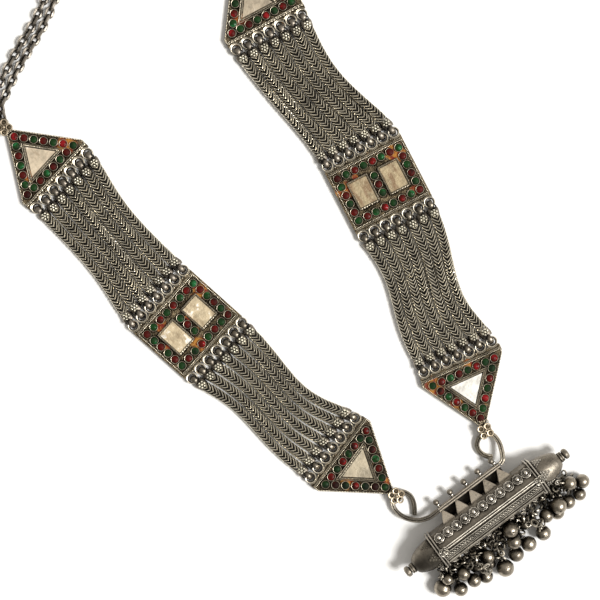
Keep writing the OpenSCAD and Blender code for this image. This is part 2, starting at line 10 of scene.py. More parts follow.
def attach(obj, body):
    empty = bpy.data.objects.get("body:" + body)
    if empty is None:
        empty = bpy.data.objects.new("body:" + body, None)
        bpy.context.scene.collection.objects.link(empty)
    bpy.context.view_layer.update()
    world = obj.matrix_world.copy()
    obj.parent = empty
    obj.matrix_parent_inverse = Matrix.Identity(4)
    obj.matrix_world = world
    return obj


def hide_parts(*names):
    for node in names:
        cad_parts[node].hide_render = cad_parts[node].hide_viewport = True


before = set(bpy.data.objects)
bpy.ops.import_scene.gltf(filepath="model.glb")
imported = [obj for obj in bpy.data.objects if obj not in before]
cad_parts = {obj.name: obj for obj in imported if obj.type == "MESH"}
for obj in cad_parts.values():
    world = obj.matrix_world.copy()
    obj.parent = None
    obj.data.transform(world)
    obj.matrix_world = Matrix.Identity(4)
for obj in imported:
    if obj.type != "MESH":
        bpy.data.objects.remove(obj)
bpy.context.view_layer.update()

# Camera: it looks straight down on the lower half of the necklace, which lies slanting across the picture.
# The floor that it sees is 282 mm wide from 610 mm above it.
picture_right = Vector((0.8, -0.6, 0))
picture_up = Vector((0.6, 0.8, 0))
picture_middle = (-0.0187, -0.0388)
camera_height = 0.61
floor_seen = 0.282
camera = bpy.data.objects.new("camera", bpy.data.cameras.new("camera"))
camera.data.angle = 2 * math.atan(floor_seen / 2 / camera_height)
turn = Matrix((picture_right, picture_up, (0, 0, 1))).transposed().to_4x4()
camera.matrix_world = Matrix.Translation((*picture_middle, camera_height)) @ turn
bpy.context.scene.collection.objects.link(camera)
bpy.context.scene.camera = camera


# Floor and light: a plain white sheet, a soft main lamp from the picture's right, and wide fill lamps from
# its right and its top and, weakly, from its lower left. The room above is dark, as over a camera, so
# silver that faces up shows its own dark tone.
class Link:
    """A socket's value in a material. Sums, differences and products of it are Math nodes."""

    def __init__(self, finish, socket):
        self.finish = finish
        self.socket = socket

    def math(self, operation, *others):
        """The result of a Math node on this value and others."""
        values = dict(enumerate((self,) + others))
        return self.finish.add("ShaderNodeMath", {"operation": operation}, values)

    def __add__(self, other):
        return self.math("ADD", other)

    def __mul__(self, other):
        return self.math("MULTIPLY", other)

    def __sub__(self, other):
        return self.math("SUBTRACT", other)

    def __rsub__(self, other):
        return (self * -1).math("ADD", other)

    __radd__ = __add__
    __rmul__ = __mul__

    def between(self, low, high):
        """0 below low, 1 above high, and a smooth rise from one to the other."""
        settings = {"interpolation_type": "SMOOTHSTEP"}
        sockets = {"Value": self, "From Min": low, "From Max": high}
        return self.finish.add("ShaderNodeMapRange", settings, sockets)


class Finish:
    """A material whose nodes are added one by one."""

    def __init__(self, name, **constants):
        self.material = bpy.data.materials.new(name)
        self.material.use_nodes = True
        self.tree = self.material.node_tree
        self.shader = self.tree.nodes["Principled BSDF"]
        self.set(**constants)
        self.place = self.add("ShaderNodeTexCoord", output="Object")

    def feed(self, socket, value):
        """Links a value to a socket, or sets the socket where the value is a constant."""
        if isinstance(value, Link):
            self.tree.links.new(value.socket, socket)
        else:
            socket.default_value = value

    def add(self, kind, settings=None, sockets=None, output=0):
        """Adds a node of a kind, with its settings first and then the values or links of its sockets."""
        node = self.tree.nodes.new(kind)
        for name, value in (settings or {}).items():
            setattr(node, name, value)
        for name, value in (sockets or {}).items():
            self.feed(node.inputs[name], value)
        return Link(self, node.outputs[output])

    def set(self, **values):
        """Feeds the shader's sockets, named in words joined by underscores."""
        for name, value in values.items():
            self.feed(self.shader.inputs[name.replace("_", " ").title().replace("Ior", "IOR")], value)

    def noise(self, scale, detail=3.0, vector=None):
        """A noise of scale swells to the metre, with finer ones in it."""
        sockets = {"Vector": vector or self.place, "Scale": scale, "Detail": detail, "Roughness": 0.6}
        return self.add("ShaderNodeTexNoise", None, sockets, "Fac")

    def mix(self, share, low, high):
        """The colour low where share is 0, and high where it is 1. Sockets 6 and 7 of a Mix node are its two
        colours, and its output 2 is the mixed one."""
        return self.add("ShaderNodeMix", {"data_type": "RGBA"}, {0: share, 6: low, 7: high}, 2)

    def sky(self, reach):
        """How much of the sky a place sees past what is within reach, in metres: from 0 in a hollow to 1."""
        return self.add("ShaderNodeAmbientOcclusion", {"samples": 6}, {"Distance": reach}, "AO")

    def bump(self, height, depth):
        """A relief of the given depth in metres."""
        sockets = {"Height": height, "Distance": depth, "Strength": 1.0}
        self.set(normal=self.add("ShaderNodeBump", None, sockets))


def colour(red, green, blue):
    return (red, green, blue, 1.0)


def grid(points, close_rows=False, close_columns=False):
    """Four-cornered faces between the rows and columns of a grid of points, which may close on themselves."""
    rows, columns = points.shape[:2]
    numbers = np.arange(rows * columns).reshape(rows, columns)
    near = numbers if close_rows else numbers[:-1]
    far = np.roll(numbers, -1, 0) if close_rows else numbers[1:]
    if not close_columns:
        corners = (near[:, :-1], far[:, :-1], far[:, 1:], near[:, 1:])
    else:
        corners = (near, far, np.roll(far, -1, 1), np.roll(near, -1, 1))
    return points.reshape(-1, 3), np.stack(corners, -1).reshape(-1, 4), np.zeros((0, 3), int)


# The frame's origin, in the source's millimetres.
MIDDLE = np.array((12.1, 169.3, 0.0))


def new_piece(name, parts, finish, slot="silver", replaced=(), sharp=40):
    """One mesh of many parts, moved from the source's millimetres to the frame's metres. It is shaded
    smooth, but for edges sharper than the angle in degrees."""
    starts = np.cumsum([0] + [len(part[0]) for part in parts[:-1]])
    points = (np.concatenate([part[0] for part in parts]) - MIDDLE) / 1000
    quads = np.concatenate([part[1] + start for part, start in zip(parts, starts)])
    triangles = np.concatenate([part[2] + start for part, start in zip(parts, starts)])
    sizes = np.repeat((4, 3), (len(quads), len(triangles)))
    corners = np.concatenate((quads.ravel(), triangles.ravel()))
    mesh = bpy.data.meshes.new(name)
    mesh.vertices.add(len(points))
    mesh.vertices.foreach_set("co", points.ravel())
    mesh.loops.add(len(corners))
    mesh.loops.foreach_set("vertex_index", corners)
    mesh.polygons.add(len(sizes))
    mesh.polygons.foreach_set("loop_start", np.cumsum(sizes) - sizes)
    mesh.update(calc_edges=True)
    mesh.polygons.foreach_set("use_smooth", np.ones(len(sizes), bool))
    mesh.set_sharp_from_angle(angle=math.radians(sharp))
    mesh.materials.append(finish.material)
    piece = bpy.data.objects.new(name, mesh)
    bpy.context.scene.collection.objects.link(piece)
    if slot:
        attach(piece, "root")
    if replaced:
        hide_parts(*replaced)
    return piece


paper = Finish("white_sheet", roughness=0.9)
paper.set(base_color=paper.mix(paper.noise(6), colour(0.92, 0.92, 0.92), colour(0.94, 0.94, 0.93)))
floor_reach = 4000
edge = np.linspace(-floor_reach, floor_reach, 9)
floor_points = np.stack(np.meshgrid(edge, edge, [0.0], indexing="ij"), -1)[:, :, 0] + MIDDLE
floor = new_piece("floor", [grid(floor_points)], paper, slot=None)

world = bpy.data.worlds.new("studio")
bpy.context.scene.world = world
world.use_nodes = True
world.node_tree.nodes["Background"].inputs["Color"].default_value = colour(1.0, 0.95, 0.88)
world.node_tree.nodes["Background"].inputs["Strength"].default_value = 0.13


def lamp(name, towards, energy, width, tint):
    """A far lamp that shines from the way given and is seen as a disc of the width in degrees."""
    light = bpy.data.objects.new(name, bpy.data.lights.new(name, "SUN"))
    light.data.energy = energy
    light.data.angle = math.radians(width)
    light.data.color = tint
    light.matrix_world = Vector(towards).to_track_quat("Z", "Y").to_matrix().to_4x4()
    bpy.context.scene.collection.objects.link(light)


lamp("main_lamp", towards=(0.384, -0.407, 0.829), energy=3.35, width=17, tint=(1.0, 0.985, 0.96))
fill_rise = 0.7
for side, energy in ((-40, 0.8), (75, 0.75), (200, 0.2)):
    towards = (math.cos(math.radians(side)), math.sin(math.radians(side)), fill_rise)
    lamp("fill_lamp_%d" % side, towards, energy, width=110, tint=(1.0, 0.96, 0.89))
bpy.context.scene.view_settings.view_transform = "Standard"


# Amulet: a hollow six-sided tube of sheet silver with domed ends, all its ornament soldered on.
# The tube, crest, rosettes and loops are the frame's; wires, granules and braids are laid on it here.
TUBE = {"start": -24.5, "end": 31.5, "radius": 8.8, "z": 9.5}
STRAP_FACET = 60
BELL_FACET = 120


def silver(name, bright, dark, roughness, grain=1.0, reach=0.0016, painted_light=None, painted_shade=None):
    """Worn silver. The colour runs from dark, in blotches and in hollows that see little of the sky within
    reach, to bright, where the metal is rubbed. The dark in the hollows is tarnish and also painted shade,
    the more so where a long reach darkens a part next to its neighbours. A painted light or a painted
    shade is a mask of places with 2.5 or 0.2 times the bright colour."""
    finish = Finish(name, metallic=1.0)
    blotch = finish.noise(170, 4)
    fine = finish.noise(1500, 3)
    pits = finish.noise(4200, 2)
    wear_and_shade = (finish.sky(reach) * 1.6 + blotch * 1.2 + fine - 1.8).between(0.1, 1.1)
    tone = finish.mix(wear_and_shade, colour(*dark), colour(*bright))
    for mask, strength in ((painted_light, 2.5), (painted_shade, 0.2)):
        if mask:
            other = finish.mix(wear_and_shade, colour(*dark), colour(*(strength * v for v in bright)))
            tone = finish.mix(mask(finish), tone, other)
    finish.set(base_color=tone, roughness=roughness + 0.15 * (1 - wear_and_shade) + (fine - 0.5) * 0.2)
    finish.bump(fine * 0.6 + pits * 0.4, 0.00012 * grain)
    return finish


def place_on(finish, axis):
    """The place on the axis X or Y, in the source's millimetres."""
    place = finish.add("ShaderNodeSeparateXYZ", None, {"Vector": finish.place}, axis)
    return 1000 * place + float(MIDDLE["XY".index(axis)])


def pyramid_painted_light(finish):
    """Painted light: 1 on the pyramids, whose faces catch the main lamp, 0 on the tube and on the rail."""
    y = place_on(finish, "Y")
    return y.between(7.6, 8.5) * (1 - y.between(12.2, 13.2))


def cap_shade_and_dimming(finish):
    """Painted shade: most of the way to 1 on the bell side of the left end cap, which lies in the bells'
    shade and away from the lamps, less on its other side; a little darkening on the right cap; and 0 on the
    tube and on the left knob."""
    x = place_on(finish, "X")
    left = x.between(-39, -38) * (1 - x.between(-28, -25.5))
    return left * (0.9 - 0.65 * place_on(finish, "Y").between(0, 5)) + 0.15 * x.between(32.5, 35)


# On the tube, painted light brightens the crest's pyramids, and painted shade darkens the left end cap on its
# bell side.
tube_silver = silver(
    "tube_silver", (0.315, 0.28, 0.23), (0.016, 0.013, 0.01), 0.42, painted_light=pyramid_painted_light, painted_shade=cap_shade_and_dimming,
)
plain_silver = silver("worn_silver", (0.90, 0.84, 0.74), (0.02, 0.017, 0.013), 0.34)
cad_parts["amulet"].material_slots[0].material = tube_silver.material


def unit(v):
    """A vector, or each vector of an array, made one long."""
    return v / np.linalg.norm(v, axis=-1, keepdims=True)


def heading(path, closed):
    """The way that a path runs at each point, from the point before to the point after."""
    return np.roll(path, -1, 0) - np.roll(path, 1, 0) if closed else np.gradient(path, axis=0)


def tube(path, section, up=(0, 0, 1), closed=False):
    """A section carried along a path: each point is the path's, plus x times the side, plus y times the over.
    The side is across the path and up, and the over is across the side and the path. Open ends are closed."""
    path = np.asarray(path, float)
    along = heading(path, closed)
    side = unit(np.cross(along, np.broadcast_to(up, path.shape)))
    over = unit(np.cross(side, along))
    section = np.broadcast_to(section, (len(path),) + np.shape(section)[-2:])
    points = path[:, None] + section[..., :1] * side[:, None] + section[..., 1:] * over[:, None]
    points, quads, triangles = grid(points, closed, True)
    if not closed:
        count = section.shape[1]
        around = np.arange(count)
        ends = np.array((len(points), len(points) + 1))
        last = len(points) - count
        first_fan = np.stack((np.full(count, ends[0]), around, np.roll(around, -1)), -1)
        last_fan = np.stack((np.full(count, ends[1]), last + np.roll(around, -1), last + around), -1)
        points = np.concatenate((points, path[:1], path[-1:]))
        triangles = np.concatenate((first_fan, last_fan))
    return points, quads, triangles


def full_turn(count):
    """Angles evenly round a circle."""
    return np.arange(count) * 2 * math.pi / count


def round_section(radius, sides=8, flat=1.0):
    """Points evenly round a circle, or round an ellipse whose second axis is flat times its first."""
    angle = full_turn(sides) + 0.4
    return radius * np.stack((np.cos(angle), flat * np.sin(angle)), -1)


def circle(radius, count, start=0.0):
    """Points round a circle in the plane of X and Y."""
    angle = start + full_turn(count)
    return radius * np.stack((np.cos(angle), np.sin(angle), 0 * angle), -1)


def wire_ring(radius, wire, count=24, sides=8):
    """A ring of wire in the plane of X and Y: a section of the wire's thickness carried round a circle."""
    return tube(circle(radius, count), round_section(wire / 2, sides), closed=True)


def turned(profile, count=16):
    """A profile of radius and height turned about Z: x and y go round as cosine and sine of the angle."""
    profile = np.asarray(profile, float)
    angle = -full_turn(count)
    radius = profile[:, :1]
    points = np.stack((radius * np.cos(angle), radius * np.sin(angle), profile[:, 1:] + 0 * angle), -1)
    return grid(points, False, True)


def ball(radius=1.0, rings=5, count=8):
    """A sphere as a half circle turned about Z, with tiny closed poles."""
    angle = np.linspace(-math.pi / 2, math.pi / 2, rings + 1)
    return turned(np.stack((np.maximum(np.cos(angle), 0.001), np.sin(angle)), -1) * radius, count)


def copies(part, origins, bases=None, sizes=1.0):
    """A part repeated: each point is an origin, plus a basis times a size times the part's own point."""
    origins = np.atleast_2d(origins)
    count = len(origins)
    bases = np.broadcast_to(np.eye(3) if bases is None else bases, (count, 3, 3))
    sizes = np.broadcast_to(sizes, (count,))
    points, quads, triangles = part
    placed = origins[:, None] + np.einsum("nij,pj->npi", bases, points) * sizes[:, None, None]
    shift = (np.arange(count) * len(points))[:, None, None]
    return placed.reshape(-1, 3), (quads + shift).reshape(-1, 4), (triangles + shift).reshape(-1, 3)


def upright(normal, along=(1, 0, 0)):
    """A basis whose Z is the normal and whose X lies towards along."""
    z = unit(np.asarray(normal, float))
    y = unit(np.cross(z, along))
    return np.stack((np.cross(y, z), y, z), -1)


def round_tube(angle):
    """The way out of the tube at an angle in degrees about X, and the way on round it."""
    turn = math.radians(angle)
    return np.array((0, math.cos(turn), math.sin(turn))), np.array((0, -math.sin(turn), math.cos(turn)))


def facet(angle, x, across, rise):
    """Points over a long side of the tube: angle is where the side faces, across runs on round the tube
    from the side's middle, and rise is the height over it."""
    out, on = round_tube(angle)
    x, across, rise = np.broadcast_arrays(np.asarray(x, float), across, rise)
    flat = TUBE["radius"] * math.cos(math.pi / 6)
    place = x[..., None] * (1, 0, 0) + across[..., None] * on + (flat + rise)[..., None] * out
    return place + np.array((0, 0, TUBE["z"]))


def straight(a, b, count=2):
    """Points evenly from a to b."""
    share = np.linspace(0, 1, count)[:, None]
    return np.asarray(a) * (1 - share) + np.asarray(b) * share


# The double wire on the ridge, then the plain wires on the facet towards the bells: their places across it,
# radii and heights over it.
wire_x = (TUBE["start"] + 0.6, TUBE["end"] - 0.9)
ridge = TUBE["z"] + TUBE["radius"]
facet_wires = []
for y in (-0.5, 0.5):
    facet_wires.append(tube(straight((wire_x[0], y, ridge), (wire_x[1], y, ridge)), round_section(0.27)))
for across, radius, rise in ((-2.3, 0.25, 0.5), (0.45, 0.25, 0.5), (1.6, 0.225, 0.25), (3.1, 0.3, 0.25)):
    wire = facet(BELL_FACET, np.linspace(*wire_x, 30), across, rise)
    facet_wires.append(tube(wire, round_section(radius, 6)))

# A braid of two wires between them: each swings across and up as sine and cosine, with a bead in each gap.
braid_middle = -0.95
braid_swing = 0.72
braid_pitch = 2.9
braid_x = np.linspace(wire_x[0] + 0.4, wire_x[1] - 0.4, 400)
for phase in (0, math.pi):
    angle = braid_x * 2 * math.pi / braid_pitch + phase
    across = braid_middle + braid_swing * np.sin(angle)
    strand = facet(BELL_FACET, braid_x, across, 0.62 + 0.15 * np.cos(angle))
    facet_wires.append(tube(strand, round_section(0.2, 6)))
bead_x = np.arange(wire_x[0] + 0.9, wire_x[1] - 0.6, braid_pitch / 2)
points, quads, triangles = ball(0.5, 5, 8)
long_bead = (points * (1.1, 1, 0.9), quads, triangles)
facet_wires.append(copies(long_bead, facet(BELL_FACET, bead_x, braid_middle, 0.75)))

# Eleven rosettes: two circlets round a boss, in a ring of nine granules.
ornament = []
rosette_pitch = 4.96
rosettes = facet(STRAP_FACET, -21 + rosette_pitch * np.arange(11), -1.1, 0.55)
rosette_basis = upright((0, 0.5, 0.866))
for part, rise in ((wire_ring(2.1, 0.5), 0), (wire_ring(1.45, 0.34), 0.15), (ball(1.02, 8, 14), 0.35)):
    ornament.append(copies(part, rosettes + rise * rosette_basis[:, 2], rosette_basis))
for place in rosettes:
    ornament.append(copies(ball(0.36), place + circle(2.3, 9) @ rosette_basis.T))

# Two six-sided bands at each end of the tube, and a flower of four circlets at each end of the ridge.
corner_angle = full_turn(6) + math.pi / 2
band_radius = 9.55
corners = band_radius * np.stack((np.zeros(6), np.cos(corner_angle), np.sin(corner_angle)), -1)
band = np.concatenate([straight(a, b, 9)[:-1] for a, b in zip(corners, np.roll(corners, -1, 0))])
for x in (TUBE["start"] - 1.05, TUBE["start"] + 0.25, TUBE["end"] - 0.25, TUBE["end"] + 1.05):
    ornament.append(tube(band + (x, 0, TUBE["z"]), round_section(0.34, 6), (1, 0, 0), True))
flower_basis = upright((0, -0.35, 0.94))
flower_y = -0.7
for x in (TUBE["start"] + 1.5, TUBE["end"] - 0.2):
    petals = np.array((x, flower_y, ridge + 0.35)) + circle(1.35, 4, math.pi / 4) @ flower_basis.T
    facet_wires.append(copies(wire_ring(0.95, 0.55, 16, 6), petals, flower_basis))
    facet_wires.append(copies(ball(0.6), petals))
    facet_wires.append(copies(ball(0.8), (x, flower_y, ridge + 0.7)))

# A circlet and a boss over each of the eleven hanging loops, and a collar under each of the five studs.
LOOP_X = -28 + 6.6 * np.arange(11)
boss_basis = upright((0, -0.5, 0.87))
for x in LOOP_X:
    boss = np.array((x, -8.3, 10.1))
    ornament.append(copies(wire_ring(1.05, 0.62, 18, 7), boss, boss_basis))
    ornament.append(copies(ball(0.7), boss - 0.2 * boss_basis[:, 2], boss_basis))
for x in -12.5 + 8.1 * np.arange(5):
    ornament.append(copies(wire_ring(0.85, 0.6, 16, 6), (x, 15.7, 5.8), upright((0, 1, 0))))


def cap_granules(end, way):
    """Three triangles of granules on an end cap, in rows of four to one away from the tube. A granule lies on
    the dome, out by the root of the dome's radius squared less its own place along the row squared."""
    parts = []
    for angle in (35, 95, 150):
        out, on = round_tube(angle)
        for row, count in enumerate((4, 3, 2, 1)):
            off = 1.3 * (np.arange(count) - (count - 1) / 2)[:, None]
            foot = np.array((end + way * (2.4 + 1.15 * row), 0, TUBE["z"]))
            dome_radius = 7 - 0.1 * row
            places = foot + off * on + np.sqrt(dome_radius ** 2 - off ** 2) * out
            parts.append(copies(wire_ring(0.42, 0.34, 10, 5), places, upright(out)))
            parts.append(copies(ball(0.3, 4, 6), places))
    return parts


# The left cap's granules take a darker copy of the rosettes' silver: painted shade, as that cap lies away
# from the lamps in the bells' shade.
shaded_cap_silver = silver("shaded_cap_silver", (0.30, 0.27, 0.22), (0.016, 0.013, 0.01), 0.42)
bright_silver = silver("rubbed_silver", (0.84, 0.785, 0.68), (0.02, 0.017, 0.013), 0.36, 0.6, 0.0012)
new_piece("amulet_ornament", ornament, plain_silver)
new_piece("left_cap_granules", cap_granules(TUBE["start"], -1), shaded_cap_silver)
new_piece("right_cap_granules", cap_granules(TUBE["end"], 1), plain_silver)
new_piece("amulet_facet_wires", facet_wires, bright_silver)

# Crest backing: a near-black sheet that closes the gallery behind the pyramids from the tube to the rail,
# standing for the deep shade there. It lies low, so it shows only as the black triangles between them.
painted_shade_silver = silver("painted_shade_silver", (0.05, 0.045, 0.038), (0.012, 0.011, 0.01), 0.55)
near_edge = straight((-13.2, 7.5, 4.6), (21.3, 7.5, 4.6), 30)
far_edge = straight((-13.2, 13.4, 5.5), (21.3, 13.4, 5.5), 30)
thickness = np.array((0, 0, 0.4))
wrap = np.stack((near_edge, far_edge, far_edge - thickness, near_edge - thickness))
new_piece("crest_shade_sheet", [grid(wrap, True, False)], painted_shade_silver)


# Hooks: thick drawn wire with two grooves along it, soldered to the rail's ends and bent round in a teardrop.
# Each passes through the tip ring of a lower plaque. The grooves are dips in its round section.
def spline(points, steps):
    """A smooth curve through points: in each span the cubic whose slope at a point is half the way from its
    neighbour before to its neighbour after."""
    points = np.asarray(points, float)
    padded = np.concatenate((points[:1], points, points[-1:]))
    a, b, c, d = (padded[i:len(points) - 1 + i, None] for i in range(4))
    t = (np.arange(steps) / steps)[:, None]
    bend = (2 * a - 5 * b + 4 * c - d) * t ** 2 + (3 * b - a - 3 * c + d) * t ** 3
    curve = 0.5 * (2 * b + (c - a) * t + bend)
    return np.concatenate((curve.reshape(-1, points.shape[1]), points[-1:]))


hook_angle = full_turn(28)
grooves = np.exp(-((hook_angle - 1.75) / 0.3) ** 2) + 0.8 * np.exp(-((hook_angle - 0.75) / 0.28) ** 2)
hook_wire_radius = 1.17
hook_radius = hook_wire_radius * (1 - 0.45 * grooves)
hook_section = np.stack((hook_radius * np.cos(hook_angle), hook_radius * np.sin(hook_angle)), -1)
# X, Y and Z of the wires' middles.
HOOK_LEFT = (
    (-13.8, 13.6, 6.2), (-16.6, 13.5, 6.1), (-19.6, 13.6, 5.9), (-24.4, 15.5, 5.1), (-28.3, 19.7, 3.9),
    (-29.9, 24.8, 2.9), (-28.7, 29.2, 2.4), (-25.6, 31.2, 2.3), (-22.2, 30, 2.2), (-20.3, 26.3, 2),
    (-21.2, 22.1, 1.8), (-24.1, 17.6, 1.5),
)
HOOK_RIGHT = (
    (22.1, 13.6, 6.2), (24.2, 14.4, 6), (25.9, 16.8, 5.2), (27.8, 21.2, 3.8), (27.9, 25.4, 2.8),
    (25.5, 28.6, 2.4), (21.6, 28.4, 2.2), (19, 26.4, 2), (18.1, 23.2, 1.8), (19.4, 19.6, 1.6),
    (21.4, 17.6, 1.5),
)
dark_hook = silver("dark_hook_silver", (0.38, 0.345, 0.29), (0.012, 0.010, 0.008), 0.33, reach=0.0015)
pale_hook = silver("pale_hook_silver", (0.58, 0.52, 0.42), (0.012, 0.010, 0.008), 0.33, reach=0.0012)
for name, route, finish in (("hook_left", HOOK_LEFT, dark_hook), ("hook_right", HOOK_RIGHT, pale_hook)):
    new_piece(name + "_wire", [tube(spline(route, 8), hook_section)], finish, replaced=(name,))

# Bells: hollow balls of two soldered halves on thin jump rings, which hang in clusters from eleven loops.
# Each has a seam round its middle, a collar at its eye and a sound hole at the other end.
JUMP_WIRE = 0.85
# For each loop the first ring's radius and tilt, and the second ring's place on it, rise and radius.
BELL_RINGS = (
    (2.8, 40, 15, 0, 2.8), (2.8, 40, 15, -60, 2.4), (3.2, -20, 15, 0, 3.6), (3.2, 40, -30, -45, 2.4),
    (3.2, 20, -15, 0, 3.6), (2.4, 20, -30, -45, 3.6), (2.4, 60, -30, 60, 3.6), (3.2, -20, 15, -60, 3.6),
    (3.2, 80, 60, 60, 3.6), (3.2, 60, 45, 60, 2.4), (2.8, 80, 60, 60, 3.6),
)
# The loop, which of its two rings carries the bell, and the bell's middle and radius.
BELLS = (
    (1, 2, -27.5, -22.5, 4, 3.3), (1, 1, -34, -17, 4.2, 4.1), (1, 1, -29.5, -14, 9, 2.6),
    (2, 1, -22, -16.5, 8, 3.2), (2, 2, -20, -22.5, 6, 3.2),
    (3, 2, -14.5, -25, 3.3, 3.2), (3, 2, -15.5, -18, 3.4, 3.2),
    (4, 1, -8.5, -17, 8, 3.4), (4, 2, -9.4, -21.6, 2.7, 2.6),
    (5, 2, -5, -27, 4.2, 4.1),
    (6, 2, 3, -25, 3.7, 3.6), (6, 1, 7.5, -12.5, 12, 3.5), (6, 1, 5.5, -18.5, 9, 3.4),
    (7, 2, 14.5, -15.5, 4.5, 3.2), (7, 2, 10.5, -24, 6.5, 3.6),
    (8, 2, 19, -24.5, 4.5, 3.5),
    (9, 2, 24.8, -18, 8, 3.3), (9, 2, 30, -21, 3.4, 3.3),
    (10, 2, 32, -17.5, 9.3, 3.7), (10, 2, 37, -20, 3.5, 3.4),
    (11, 2, 42.5, -12.5, 8, 3.2), (11, 2, 48, -16, 5, 3.3), (11, 2, 43.5, -20.5, 3.2, 3),
)
# Bells and rings see the sky over a long reach, so they darken where they crowd one another and the tube:
# painted shade, over their tarnish.
bell_silver = silver("bell_silver", (0.38, 0.335, 0.27), (0.014, 0.011, 0.008), 0.29, reach=0.005)
ring_silver = silver("ring_silver", (0.60, 0.55, 0.46), (0.020, 0.017, 0.013), 0.34, reach=0.003)
Ring = collections.namedtuple("Ring", "middle far across radius")


def on_ring(ring, angle):
    """A ring's point: its middle, plus its radius times cosine of the far way and sine of the across way."""
    return ring.middle + ring.radius * (math.cos(angle) * ring.far + math.sin(angle) * ring.across)


def basis(x, y):
    """A basis of two ways at right angles to each other, and the way across both."""
    return np.stack((x, y, np.cross(x, y)), -1)


def bell_rings(k):
    """The two jump rings of loop k. The first hangs from the loop, tilted down, and the second from a place
    round the first, risen out of its plane."""
    radius, tilt, place, rise, second_radius = BELL_RINGS[k - 1]
    tilt, place, rise = np.radians((tilt, place, rise))
    out = np.array((0, -math.cos(tilt), -math.sin(tilt)))
    side = np.array((1.0, 0, 0))
    over = np.cross(out, side)
    first = Ring(np.array((LOOP_X[k - 1], -9.4, 8)) + radius * out, out, side, radius)
    way = math.cos(place) * out + math.sin(place) * side
    away = math.cos(rise) * way + math.sin(rise) * over
    middle = on_ring(first, place) + (second_radius - 0.95) * away
    return first, Ring(middle, away, unit(np.cross(away, np.cross(way, over))), second_radius)


def small_ring(rings, n, k):
    """Small ring n on one of the two jump rings of loop k, clear of the floor. Sines of both numbers stand
    for chance in its place, way, tilt and size."""
    ring = rings[n % 2]
    angle = (n * 2.3 + k * 1.7) % 6.28
    out = math.cos(angle) * ring.far + math.sin(angle) * ring.across
    over = np.cross(ring.far, ring.across)
    away = unit(out * math.cos(n * 1.9 + k) + over * 0.8 * math.sin(n * 2.1 + k))
    across = unit(np.cross(away, (math.sin(n + k), math.cos(n * 1.3), 0.6)))
    radius = 1.35 + 0.3 * math.sin(n * 1.1 + k)
    middle = on_ring(ring, angle) + radius * away
    middle[2] = max(middle[2], 0.5 + radius * abs(across[2]) + radius * abs(away[2]))
    return copies(wire_ring(radius, JUMP_WIRE, 14, 5), middle, basis(away, across))


def bell_profile(hole):
    """A ball of radius 1 with a seam raised round its middle, a collar at its top and a sunk hole below."""
    angle = np.linspace(-math.pi / 2 + hole, math.pi / 2 - 0.36, 28)
    seam = 1 + 0.035 * np.exp(-(angle / 0.07) ** 2)
    body = np.stack((np.cos(angle) * seam, np.sin(angle) * seam), -1)
    low = [(0.001, -0.85), (math.sin(hole) * 0.8, -0.86), (math.sin(hole) * 0.86, -math.cos(hole) * 0.985)]
    high = [(0.36, 0.95), (0.35, 1.04), (0.28, 1.07), (0.14, 1.08), (0.001, 1.08)]
    return np.array(low + body.tolist() + high)


bell = turned(bell_profile(hole=0.12), 36)
for k in range(1, len(BELL_RINGS) + 1):
    rings = bell_rings(k)
    bells, wires = [], []
    for ring in rings:
        wires.append(copies(wire_ring(ring.radius, JUMP_WIRE, 32), ring.middle, basis(ring.far, ring.across)))
    wires += [small_ring(rings, n, k) for n in range(28)]
    for loop, number, x, y, z, radius in BELLS:
        if loop != k:
            continue
        centre = np.array((x, y, z), float)
        ring = rings[number - 1]
        reach = centre - ring.middle
        angle = math.atan2(reach @ ring.across, reach @ ring.far)
        wire = on_ring(ring, angle)
        to_bell = unit(centre - wire)
        side = unit(np.cross(to_bell, math.cos(angle) * ring.across - math.sin(angle) * ring.far))
        wires.append(copies(wire_ring(1.05, 0.7, 20, 6), wire + to_bell * 0.15, basis(to_bell, side)))
        bells.append(copies(bell, centre, upright(-to_bell, side), radius))
    new_piece("bells_%02d_cast" % k, bells, bell_silver, "old_silver", ("bells_%02d" % k,), 60)
    new_piece("bells_%02d_rings" % k, wires, ring_silver, "old_silver", ("bells_%02d" % k,), 60)

# Plaques: boxes of sheet silver filled with lac. Twisted wire frames the mirrors, beaded wire edges the top,
# thin collars hold the stones, and red and orange lac has oozed out round some of them.
TOP = 3.2
COLLET_TOP = 3.9
# Each plaque's place, X and Y, and its turn in degrees.
POSES = {
    "lower_left": (-33.7, 58.8, 16.3), "lower_right": (34.8, 57.7, -12.5),
    "mid_left": (-55.5, 152.9, 11.3), "mid_right": (55.2, 151.8, -9.7),
    "upper_left": (-63.5, 249.1, 190.4), "upper_right": (58.2, 246.8, 171.1),
}
# The place of a triangular plaque's tip ring in its own frame, and how far in from it the flower lies.
TIPS = {
    "lower_left": ((0, -28.6), -1), "lower_right": ((-2.7, -30.4), 1.2),
    "upper_left": ((0, -28.4), -0.5), "upper_right": ((0, -28.4), 0.4),
}
# How far a leaning plaque's points slide sideways for each millimetre from its eyes.
LEAN = {"lower_right": 0.07}
# Width and depth between the middles of a plaque's outermost stones.
RECT = np.array((32.1, 21.9))
TRI = np.array((31.4, 23.0))
# The eyes' pitch along their row, the row's distance from the nearest row of stones, and its height.
EYE_PITCH = 5.8
EYE_OFFSET = 7.4
EYE_Z = 2.3
ROPE_RADIUS = 0.25
ROPE_PITCH = 1.3
BOX_CORNERS = np.array(((-1, -1), (-1, 1), (1, 1), (1, -1)))


